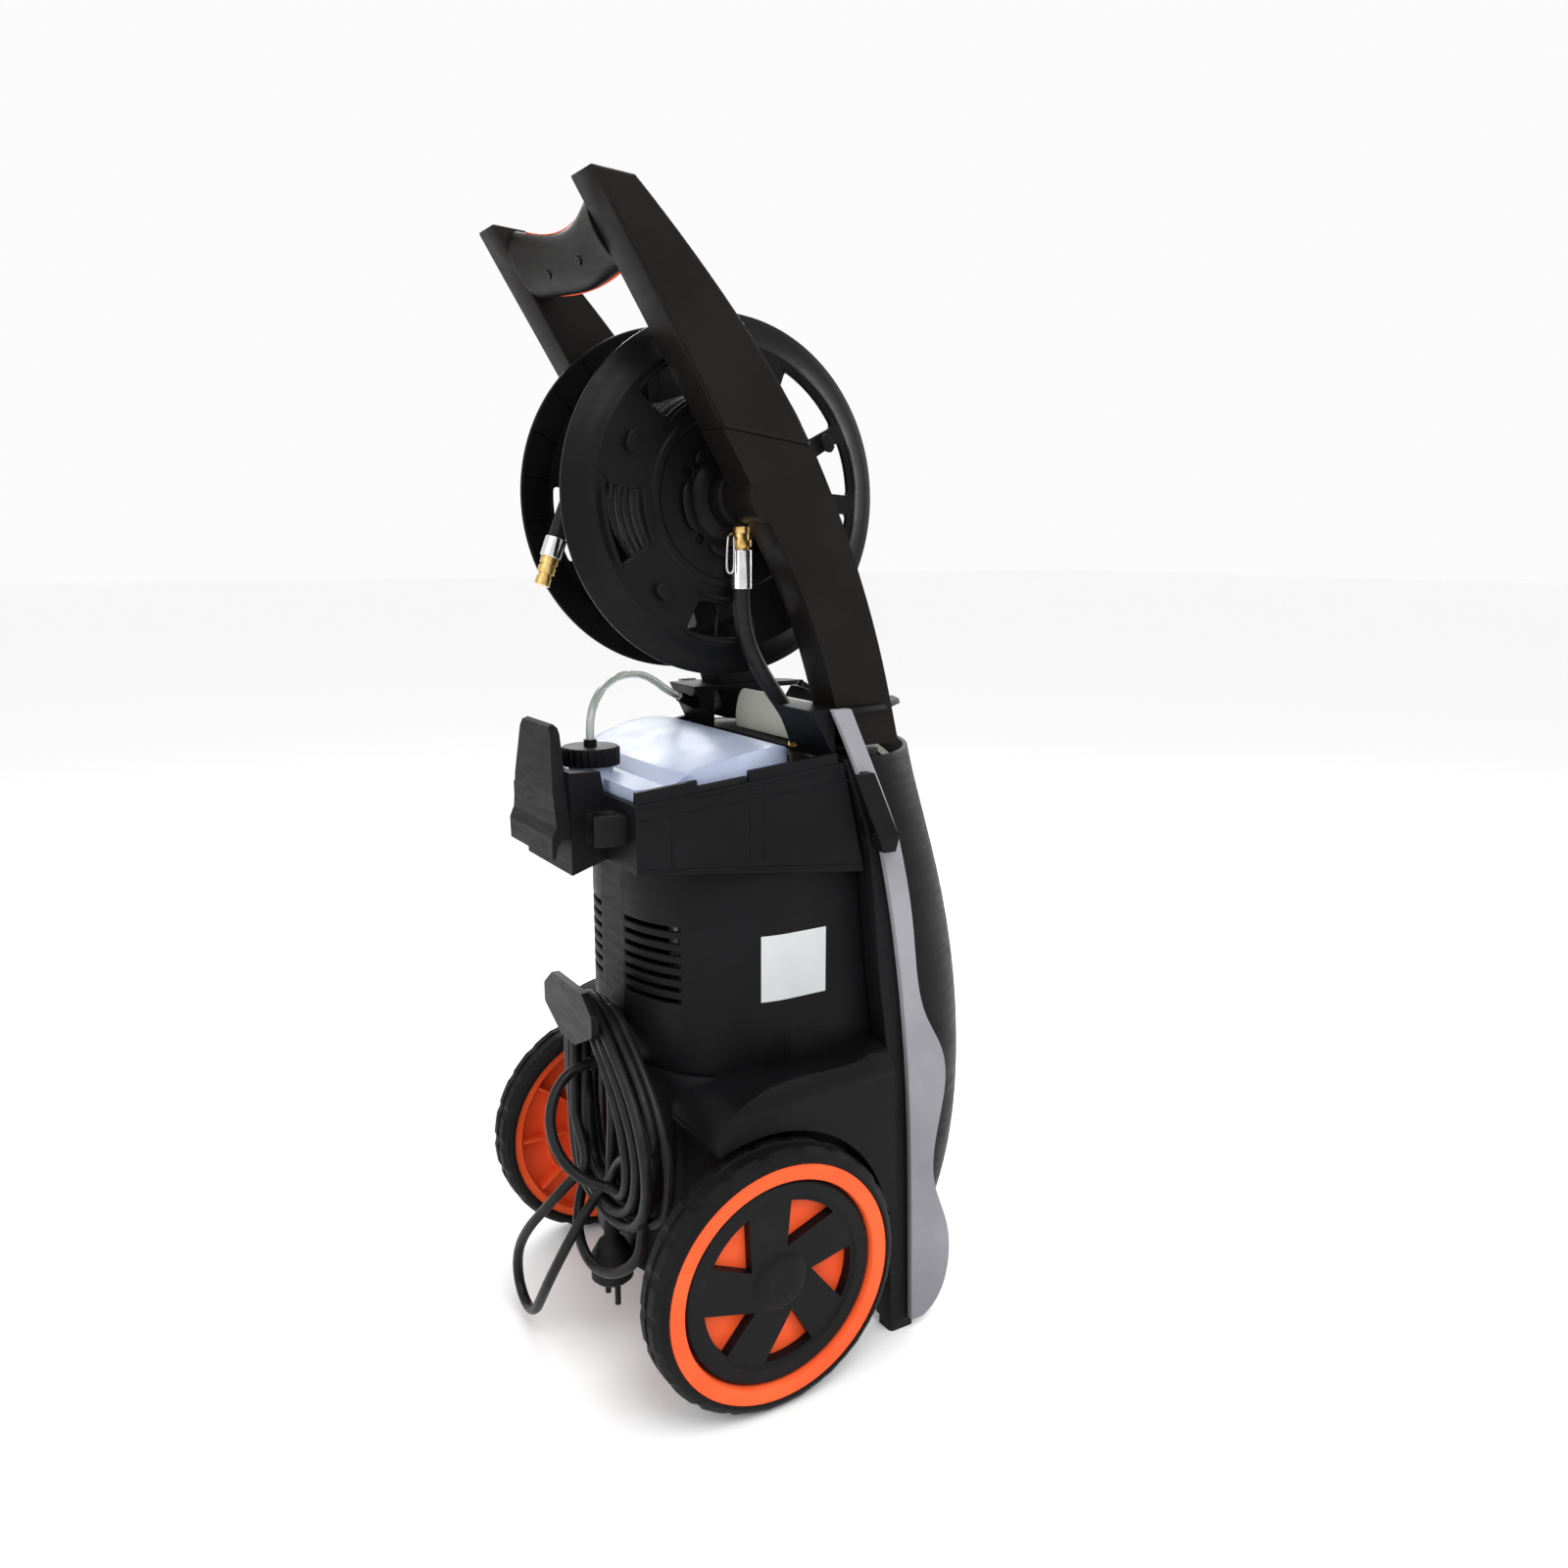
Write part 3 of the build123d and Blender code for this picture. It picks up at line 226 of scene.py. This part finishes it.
NODE_MATERIALS = {
    BODY: ["base", "motor_housing", "upper_housing", "rear_hook", "side_frames", "front_cover",
           "arm_sockets", "front_deck"],
    ARM: ["lower_arm_right", "lower_arm_left", "upper_arm_right", "upper_arm_left", "grip_shell"],
    TRIM: ["lance_clips", "tank_spout", "side_hooks", "switch_box", "tube_port", "cable_hook",
           "reel_flange_right",
           "reel_flange_left", "reel_drum", "crank", "crank_knob", "switch_knob", "tank_cap"],
    STRIP: ["side_strips"],
    PANEL: ["switch_panel"],
    LABEL: ["rating_label"],
    ORANGE: ["grip_insert", "rim_right", "rim_left"],
    WHEEL: ["wheel_cover_right", "wheel_cover_left"],
    TREAD: ["tyre_right", "tyre_left"],
    RUBBER: ["foot_pads", "cord_gland", "power_plug"],
    STEEL: ["axle", "axle_fixings", "motor_stator", "motor_rotor", "reel_shaft"],
    CHROME: ["jumper_ferrule", "tail_ferrule"],
    BRASS: ["swivel", "hose_fittings", "tail_nipple", "water_inlet"],
    ALLOY: ["pump"],
    TANK: ["detergent_tank"],
}
for material, names in NODE_MATERIALS.items():
    for name in names:
        data = NODES[name].data
        data.materials.clear()
        data.materials.append(material)

# ---------------------------------------------------------------- rounded edges on the CAD parts
SOFTEN = {
    2.2: ["lower_arm_right", "lower_arm_left", "upper_arm_right", "upper_arm_left"],
    1.5: ["upper_housing", "side_frames", "front_cover", "base", "rear_hook", "arm_sockets",
          "detergent_tank"],
    0.9: ["side_strips", "cable_hook", "switch_panel", "crank", "switch_knob", "side_hooks", "front_deck"],
    0.6: ["motor_housing", "lance_clips", "reel_flange_right", "reel_flange_left", "wheel_cover_right",
          "wheel_cover_left",
          "rim_right", "rim_left", "tank_cap", "crank_knob", "foot_pads", "power_plug", "swivel",
          "hose_fittings",
          "grip_shell", "grip_insert", "switch_box", "water_inlet"],
}


WELD_DISTANCE = 0.00002
BEVEL_SEGMENTS = 2
BEVEL_FROM_DEG = 38


def soften(node, width):
    """Weld the faces of a CAD node and round its sharp edges."""
    weld = node.modifiers.new("weld", "WELD")
    weld.merge_threshold = WELD_DISTANCE
    bevel = node.modifiers.new("round", "BEVEL")
    bevel.width = width * MM
    bevel.segments = BEVEL_SEGMENTS
    bevel.limit_method = "ANGLE"
    bevel.angle_limit = math.radians(BEVEL_FROM_DEG)
    bevel.harden_normals = False
    bevel.use_clamp_overlap = True


for width, names in SOFTEN.items():
    for name in names:
        soften(NODES[name], width)

# ---------------------------------------------------------------- cords
def mm_points(points):
    return [Vector(p) * MM for p in points]


def cord_curve(name, points, diameter, material, body):
    """One open NURBS spline with a round section."""
    data = bpy.data.curves.new(name, "CURVE")
    data.dimensions = "3D"
    data.bevel_depth = diameter / 2
    data.bevel_resolution = 5
    data.resolution_u = 5
    data.use_fill_caps = True
    spline = data.splines.new("NURBS")
    spline.points.add(len(points) - 1)
    for point, place in zip(spline.points, points):
        point.co = (*place, 1)
    spline.order_u = 3
    spline.use_endpoint_u = True
    data.materials.append(material)
    piece = bpy.data.objects.new(name, data)
    bpy.context.scene.collection.objects.link(piece)
    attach(piece, body)
    return piece


JUMPER = [(-61, 35, 611), (-61, 35, 590), (-61, 29, 568), (-60, 17, 547), (-58, 2, 528), (-56, -12, 511),
          (-55, -19, 492)]
jumper = cord_curve("jumper_hose_line", mm_points(JUMPER), 0.013, HOSE, "machine")
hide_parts("jumper_hose")

DETERGENT = [(0, 134, 497), (0, 134, 508), (4, 130, 520), (14, 120, 530), (29, 104, 537), (45, 84, 540),
             (59, 63, 538), (70, 45, 531), (77, 29, 520), (79, 16, 514)]
detergent = cord_curve("detergent_line", mm_points(DETERGENT), 0.0065, TUBE, "machine")
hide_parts("detergent_tube")

# high pressure hose: three layers on the drum, then its free end
REEL_Y, REEL_Z = 35.0, 678.0
LAYER_RADII = (51.9, 62.7, 73.5)
SIDE_REACH = 38.0
TURNS = 5.75
LEAVE_DEG = 62.0
POINTS_PER_TURN = 16
TAIL = [(0, 94, 730), (0, 118, 714), (0, 137, 692), (0, 149, 667), (0, 156, 648)]


def hose_winding():
    """Points of the wound hose from the drum outwards; it leaves the last layer in the middle."""
    passes = [(LAYER_RADII[0], -SIDE_REACH, SIDE_REACH, TURNS),
              (LAYER_RADII[1], SIDE_REACH, -SIDE_REACH, TURNS),
              (LAYER_RADII[2], -SIDE_REACH, 0.0, TURNS / 2)]
    total = sum(p[3] for p in passes)
    degrees = LEAVE_DEG + 360 * total
    points = []
    for radius, start, end, turns in passes:
        count = round(turns * POINTS_PER_TURN)
        for i in range(count):
            share = i / count
            ease = share - 0.25 * math.sin(2 * math.pi * share * turns) / (2 * math.pi * turns)
            x = start + (end - start) * ease
            angle = math.radians(degrees - 360 * turns * share)
            points.append((x, REEL_Y + radius * math.cos(angle), REEL_Z + radius * math.sin(angle)))
        degrees -= 360 * turns
    leave = math.radians(LEAVE_DEG)
    points.append((0, REEL_Y + LAYER_RADII[2] * math.cos(leave), REEL_Z + LAYER_RADII[2] * math.sin(leave)))
    return points + TAIL


hose = cord_curve("pressure_hose", mm_points(hose_winding()), 0.013, HOSE, "reel")
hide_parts("hose_pack", "hose_tail")

# mains lead: out of the gland, wound over the hook with one loose loop and one low bight, then the plug
LEAD_START = [(-2, 143, 235), (-2, 155, 234), (-4, 167, 228), (-8, 177, 217), (-14, 183, 203),
              (-22, 184, 188),
              (-31, 180, 174), (-40, 171, 162), (-47, 159, 155), (-51, 149, 152)]
LEAD_LOOP = [(-6, 147, 150), (-3, 160, 141), (3, 171, 127), (15, 180, 109), (32, 187, 88), (48, 190, 65),
             (56, 190, 42), (50, 190, 24), (33, 190, 15), (15, 190, 22), (0, 190, 42), (-15, 188, 66),
             (-26, 182, 90), (-31, 173, 110), (-30, 161, 125), (-25, 148, 135)]
LEAD_BIGHT = [(12, 143, 135), (10, 150, 115), (0, 157, 99), (-19, 162, 90), (-44, 164, 87), (-70, 161, 91),
              (-92, 154, 105), (-104, 146, 125)]
LEAD_END = [(-12, 139, 279), (-26, 139, 262), (-33, 139, 236), (-36, 139, 205), (-33, 140, 172),
            (-30, 140, 145),
            (-30, 140, 119.5)]
# one turn of the wound lead (x, z) over the hook's arm and back, for its innermost and its outermost strand
RING_IN = [(0, 279), (14, 278), (19, 262), (18, 236), (16, 205), (13, 172), (6, 149), (-16, 141), (-44, 140),
           (-66, 148), (-77, 168), (-74, 200), (-54, 234), (-30, 260), (-14, 275)]
RING_OUT = [(0, 293), (19, 285), (28, 262), (30, 230), (29, 190), (26, 150), (12, 129), (-20, 123),
            (-60, 123),
            (-94, 136), (-113, 164), (-112, 200), (-90, 238), (-52, 270), (-20, 289)]
LAYER_Y = (147.0, 138.3, 129.6)
LEFT_LEG, BOTTOM, RIGHT_LEG = 4, 8, 10


SLACK_BELOW, SLACK_AT_HOOK, SLACK_ACROSS = 2.2, 0.5, 0.9


def ring_points(first, last, share, y, rng):
    """Strand between two key points of a turn; last may be counted past the end of the turn."""
    points = []
    for k in range(first, last):
        inner, outer = RING_IN[k % len(RING_IN)], RING_OUT[k % len(RING_OUT)]
        loose = SLACK_BELOW if 4 <= k % len(RING_IN) <= 12 else SLACK_AT_HOOK
        x, z = (a + (b - a) * share for a, b in zip(inner, outer))
        points.append((x + rng.uniform(-loose, loose), y + rng.uniform(-SLACK_ACROSS, SLACK_ACROSS),
                       z + rng.uniform(-loose, loose)))
    return points


LEAD_SEED = 7


def lead_points():
    rng = random.Random(LEAD_SEED)
    size = len(RING_IN)
    points = list(LEAD_START)
    shares = ((0.0, 0.5, 1.0), (1.0, 0.72, 0.4, 0.05), (0.0, 0.5, 1.0))
    for layer, (y, spread) in enumerate(zip(LAYER_Y, shares)):
        start = BOTTOM + 1 if layer == 0 else RIGHT_LEG + 1
        for turn, share in enumerate(spread):
            first = start if turn == 0 else LEFT_LEG
            last = size + LEFT_LEG
            if turn == len(spread) - 1:
                last = size + LEFT_LEG + (1 if layer < 2 else -LEFT_LEG)
            points += ring_points(first, last, share, y, rng)
        if layer == 0:
            points += LEAD_LOOP + [(-38, 143, 152), (-56, 140, 180)]
        elif layer == 1:
            points += LEAD_BIGHT
    return points + LEAD_END


lead = cord_curve("mains_lead", mm_points(lead_points()), 0.0085, CORD, "machine")
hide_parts("lead_start", "lead_loop", "lead_bight", "cord_hank")

# ---------------------------------------------------------------- mesh pieces
def mesh_piece(name, bm, material, body, sharp=32.0):
    """Object from a bmesh, smooth except at sharp edges, riding on a body."""
    bmesh.ops.recalc_face_normals(bm, faces=bm.faces)
    mesh = bpy.data.meshes.new(name)
    bm.to_mesh(mesh)
    bm.free()
    mesh.materials.append(material)
    mesh.shade_smooth()
    mesh.set_sharp_from_angle(angle=math.radians(sharp))
    piece = bpy.data.objects.new(name, mesh)
    bpy.context.scene.collection.objects.link(piece)
    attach(piece, body)
    return piece


def grid_faces(bm, rings, closed=True):
    """Faces between neighbouring rings of vertices, the last ring joined to the first if closed."""
    pairs = list(zip(rings, rings[1:])) + ([(rings[-1], rings[0])] if closed else [])
    for ring, following in pairs:
        count = len(ring)
        for i in range(count):
            bm.faces.new((ring[i], ring[(i + 1) % count], following[(i + 1) % count], following[i]))


# tyre: a turned section whose shoulders are cut into flat facets, with a groove between the blocks
WHEEL_R = 105.0
AXLE_Y = 65.0
FACETS, STEPS = 22, 8
# distance from the machine's middle, radius, share of the facet's flatness, depth of the cross groove
TYRE_SECTION = [(137.0, 94.3, 0, 0), (171.0, 94.3, 0, 0), (172.0, 95.5, 0, 0), (171.6, 97.5, 0.3, 0),
                (169.2, 101.6, 1, 0.7),
                (165.6, 104.2, 1, 1.3), (163.5, 104.9, 0.35, 1.6), (156.6, 105.0, 0, 1.2),
                (155.8, 103.2, 0, 0),
                (152.2, 103.2, 0, 0), (151.4, 105.0, 0, 1.2), (144.5, 104.9, 0.35, 1.6),
                (142.4, 104.2, 1, 1.3),
                (138.8, 101.6, 1, 0.7), (136.4, 97.5, 0.3, 0), (136.0, 95.5, 0, 0)]


def make_tyre(side, sign):
    bm = bmesh.new()
    rings = []
    half = math.pi / FACETS
    for k in range(FACETS * STEPS):
        angle = 2 * math.pi * k / (FACETS * STEPS)
        local = angle % (2 * half) - half
        flat = 1 - math.cos(half) / math.cos(local)
        at_groove = k % STEPS in (0, 1)
        ring = []
        for x, radius, share, groove in TYRE_SECTION:
            r = radius * (1 - share * flat) - (groove if at_groove else 0)
            ring.append(bm.verts.new((sign * x * MM, (AXLE_Y + r * math.cos(angle)) * MM,
                                      (WHEEL_R + r * math.sin(angle)) * MM)))
        rings.append(ring)
    grid_faces(bm, rings)
    piece = mesh_piece(f"tread_{side}", bm, TREAD, f"wheel_{side}", sharp=18.0)
    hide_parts(f"tyre_{side}")


make_tyre("right", -1)
make_tyre("left", 1)


def bar(bm, start, end, width, height, up):
    """Closed bar between two points, for ribs and seams, tapered a little at the top."""
    start, end, up = Vector(start) * MM, Vector(end) * MM, Vector(up).normalized()
    across = (end - start).cross(up).normalized() * width * MM / 2
    rise = up * height * MM
    foot = [bm.verts.new(p) for p in (start - across, start + across, end + across, end - across)]
    top = [bm.verts.new(p + rise) for p in (start - 0.6 * across, start + 0.6 * across, end + 0.6 * across,
                                            end - 0.6 * across)]
    bm.faces.new(foot)
    bm.faces.new(top)
    for i in range(4):
        bm.faces.new((foot[i], foot[(i + 1) % 4], top[(i + 1) % 4], top[i]))


# openings in the web of each reel flange, in degrees
WINDOWS = ((-28, 5), (43, 77), (116, 148), (155, 178), (186, 220), (259, 293))


def rim_point(x, radius, degrees):
    """Point on the reel at a radius and an angle, in mm."""
    angle = math.radians(degrees)
    return x, REEL_Y + radius * math.cos(angle), REEL_Z + radius * math.sin(angle)


def in_window(degrees, margin):
    return any(start - margin < (degrees + 90) % 360 - 90 < end + margin for start, end in WINDOWS)


# ribs on the inner faces of the reel flanges
RIBS = 24
RIB_FIRST_DEG = 7.5
RIB_WIDTH, RIB_HEIGHT = 1.8, 1.0


def make_flange_ribs():
    for side, sign in (("right", -1), ("left", 1)):
        bm = bmesh.new()
        for k in range(RIBS):
            degrees = RIB_FIRST_DEG + 360 / RIBS * k
            runs = [((45.4, 107), (40.9, 115.5)), ((40.9, 115.5), (37.2, 129))]
            if not in_window(degrees, 3):
                runs.append(((45.6, 78), (45.6, 107)))
            for (x0, r0), (x1, r1) in runs:
                bar(bm, rim_point(sign * x0, r0, degrees), rim_point(sign * x1, r1, degrees), RIB_WIDTH,
                    RIB_HEIGHT,
                    (-sign, 0, 0))
        mesh_piece(f"flange_ribs_{side}", bm, TRIM, "reel")


make_flange_ribs()


def arc_pad(bm, sign, x, rise, inner, outer, start, end, steps=18):
    """Raised curved pad with rounded shoulders on a flange's web."""
    rings = []
    middle, half = (inner + outer) / 2, (outer - inner) / 2
    for i in range(steps + 1):
        share = i / steps
        degrees = start + (end - start) * share
        taper = min(1.0, 5.0 * min(share, 1 - share) + 0.25)
        ring = []
        for across, height in ((-1, -0.3), (-1, 0.45), (-0.72, 0.9), (-0.3, 1), (0.3, 1), (0.72, 0.9),
                               (1, 0.45), (1, -0.3)):
            level = height if height < 0 else height * (0.35 + 0.65 * min(1, taper))
            ring.append(bm.verts.new(Vector(rim_point(sign * (x + rise * level),
                                                      middle + half * across * taper, degrees)) * MM))
        rings.append(ring)
    grid_faces(bm, rings, closed=False)
    bm.faces.new(rings[0])
    bm.faces.new(rings[-1])


# pads, rings and ribs moulded on the outer face of each flange
def make_flange_relief():
    for side, sign in (("right", -1), ("left", 1)):
        bm = bmesh.new()
        for degrees in (169, 241, 313, 25, 97):
            arc_pad(bm, sign, 53.6, 1.6, 37, 44.5, degrees + 11, degrees + 61)
        for degrees in (24, 96, 152, 240, 311):
            arc_pad(bm, sign, 54.6, 0.8, 87, 96, degrees - 4, degrees + 5)
        for start, end in WINDOWS:
            arc_pad(bm, sign, 54.6, 1.0, 105.2, 108, start, end)
            arc_pad(bm, sign, 54.6, 1.0, 73.5, 76.4, start, end)
        mesh_piece(f"flange_relief_{side}", bm, TRIM, "reel")


make_flange_relief()


def turned_piece(name, section, sign, material, body, steps=64):
    """Ring turned about the reel's axis from a closed section of (x, radius)."""
    bm = bmesh.new()
    rings = []
    for k in range(steps):
        degrees = 360 * k / steps
        rings.append([bm.verts.new(Vector(rim_point(sign * x, radius, degrees)) * MM) for x,
                      radius in section])
    grid_faces(bm, rings)
    return mesh_piece(name, bm, material, body)


# dark boss over the swivel's bearing
turned_piece("swivel_cover", [(54.3, 21.1), (54.3, 23.2), (57, 23.6), (63, 22.6), (66.5, 21.9),
                              (68.4, 20.4), (68.6, 17),
                              (68.6, 8.5), (68.3, 7.5), (67.9, 7.2), (67.9, 21.1)], -1, TRIM, "machine")


# screw with a cross recess
def make_screw(name, place, direction, radius, body):
    bm = bmesh.new()
    arm, slot_half = 0.58 * radius, 0.16 * radius
    cross = [(arm, slot_half), (slot_half, slot_half), (slot_half, arm), (-slot_half, arm),
             (-slot_half, slot_half),
             (-arm, slot_half), (-arm, -slot_half), (-slot_half, -slot_half), (-slot_half, -arm),
             (slot_half, -arm),
             (slot_half, -slot_half), (arm, -slot_half)]
    circle = [(radius * math.cos(math.tau * i / 24), radius * math.sin(math.tau * i / 24)) for i in range(24)]
    height = 0.42 * radius
    rim_low = [bm.verts.new((x, y, 0)) for x, y in circle]
    rim_mid = [bm.verts.new((x, y, 0.6 * height)) for x, y in circle]
    rim_top = [bm.verts.new((0.84 * x, 0.84 * y, height)) for x, y in circle]
    mouth = [bm.verts.new((x, y, height)) for x, y in cross]
    pit = [bm.verts.new((0.8 * x, 0.8 * y, 0.25 * height)) for x, y in cross]
    grid_faces(bm, [rim_low, rim_mid, rim_top], closed=False)
    grid_faces(bm, [mouth, pit], closed=False)
    bm.faces.new(pit)
    bm.faces.new(rim_low)
    edges = [bm.edges.get((ring[i], ring[(i + 1) % len(ring)])) or bm.edges.new((ring[i],
                                                                                 ring[(i + 1) % len(ring)]))
             for ring in (rim_top, mouth) for i in range(len(ring))]
    bmesh.ops.triangle_fill(bm, use_beauty=True, edges=edges)
    turn = Vector(direction).to_track_quat("Z", "Y").to_matrix().to_4x4()
    bmesh.ops.transform(bm, matrix=Matrix.Translation(Vector(place) * MM) @ turn @ Matrix.Scale(MM, 4),
                        verts=bm.verts)
    return mesh_piece(name, bm, STEEL_BLACK, body, sharp=30)


SCREWS = {
    "grip_screw_a": ((-28, 144.5, 836.5), (0, 0.85, -0.53), 2.8, "machine"),
    "grip_screw_b": ((28, 144.5, 836.5), (0, 0.85, -0.53), 2.8, "machine"),
    "clip_screw_a": ((-74, 150.0, 444), (0, 1, 0), 2.6, "machine"),
    "clip_screw_b": ((74, 150.0, 444), (0, 1, 0), 2.6, "machine"),
}
for screw_name, (place, direction, radius, body) in SCREWS.items():
    make_screw(screw_name, place, direction, radius, body)


def make_wire(name, points, diameter, material, body):
    """Stiff bent wire."""
    data = bpy.data.curves.new(name, "CURVE")
    data.dimensions = "3D"
    data.bevel_depth = diameter / 2 * MM
    data.bevel_resolution = 4
    data.use_fill_caps = True
    spline = data.splines.new("NURBS")
    spline.points.add(len(points) - 1)
    for point, place in zip(spline.points, points):
        point.co = (*(Vector(place) * MM), 1)
    spline.order_u = 3
    spline.use_endpoint_u = True
    data.materials.append(material)
    piece = bpy.data.objects.new(name, data)
    bpy.context.scene.collection.objects.link(piece)
    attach(piece, body)


# spring clip that locks the jumper hose's fitting
make_wire("fitting_clip", [(-61, 42, 650), (-64, 43.5, 650), (-66, 44, 648), (-66.5, 44.2, 640),
                           (-66.5, 44.2, 630),
                           (-66.5, 45, 624), (-66.5, 48, 622.5), (-66.5, 50.5, 625), (-66.5, 50.5, 632),
                           (-66.5, 50, 641),
                           (-66, 49, 649), (-64, 47, 651), (-61, 43, 651.5)], 1.8, STEEL, "machine")

# lips and seams moulded on the upper housing
TRAY_FRONT_W, TRAY_REAR_W = 132.0, 98.0
TRAY_FRONT, TRAY_REAR = -45.0, 143.0
TRAY_REAR_TOP, TRAY_RISE, TRAY_RISE_RUN = 463.0, 21.0, 157.5


def tray_side(y):
    """Half width of the upper housing, in mm."""
    return TRAY_FRONT_W - (TRAY_FRONT_W - TRAY_REAR_W) / (TRAY_REAR - TRAY_FRONT) * (y - TRAY_FRONT)


def tray_top(y):
    """Height of the upper housing's top edge, in mm."""
    return TRAY_REAR_TOP + (TRAY_REAR - y) * TRAY_RISE / TRAY_RISE_RUN


def make_housing_lines():
    bm = bmesh.new()
    for sign in (-1, 1):
        for y0, y1, inset, width, height in ((141, 96, 6, 8, 9), (95, 58, 8, 7, 4), (57, -12, 6, 8, 8)):
            bar(bm, (sign * (tray_side(y0) - inset), y0, tray_top(y0) - 0.5),
                (sign * (tray_side(y1) - inset), y1, tray_top(y1) - 0.5),
                width, height, (0, 0, 1))
        for y in (47, 58, 117):
            bar(bm, (sign * (tray_side(y) - 0.3), y, 414),
                (sign * (tray_side(y) - 0.3), y, tray_top(y) - 3), 1.4, 0.8, (sign, 0, 0))
        for drop in (3.0, 12.0):
            bar(bm, (sign * (tray_side(140) - 0.3), 140, tray_top(140) - drop),
                (sign * (tray_side(-30) - 0.3), -30, tray_top(-14) - drop),
                1.6, 0.9, (sign, 0, 0))
        bar(bm, (sign * (tray_side(140) - 0.3), 140, 416), (sign * (tray_side(-30) - 0.3), -30, 404), 2.2,
            1.1, (sign, 0, 0))
    mesh_piece("housing_lines", bm, BODY, "machine")


make_housing_lines()


# ---------------------------------------------------------------- floor and light
def make_stage():
    mesh = bpy.data.meshes.new("floor")
    mesh.from_pydata([(-20, -20, 0), (20, -20, 0), (20, 20, 0), (-20, 20, 0)], [], [(0, 1, 2, 3)])
    floor = bpy.data.objects.new("floor", mesh)
    bpy.context.scene.collection.objects.link(floor)
    n = Nodes("floor")
    n.shader.inputs["Base Color"].default_value = (0.96, 0.96, 0.96, 1)
    n.shader.inputs["Roughness"].default_value = 0.6
    mesh.materials.append(n.material)
    world = bpy.data.worlds.new("world")
    bpy.context.scene.world = world
    world.use_nodes = True
    world.node_tree.nodes["Background"].inputs["Color"].default_value = (1, 1, 1, 1)
    world.node_tree.nodes["Background"].inputs["Strength"].default_value = 0.97
    lights = (("key", (-1.3, 0.2, 1.9), 1.2, 26), ("fill", (-0.5, 1.7, 1.0), 1.4, 8),
              ("rim", (1.4, -0.6, 1.6), 1.2, 22),
              ("front", (0.2, -1.8, 1.2), 1.5, 12))
    for name, place, size, power in lights:
        data = bpy.data.lights.new(name, "AREA")
        data.size = size
        data.energy = power
        light = bpy.data.objects.new(name, data)
        light.location = place
        light.rotation_euler = (Vector((0, 0, 0.4)) - Vector(place)).to_track_quat("-Z", "Y").to_euler()
        bpy.context.scene.collection.objects.link(light)
    bpy.context.scene.view_settings.view_transform = "Standard"


make_stage()
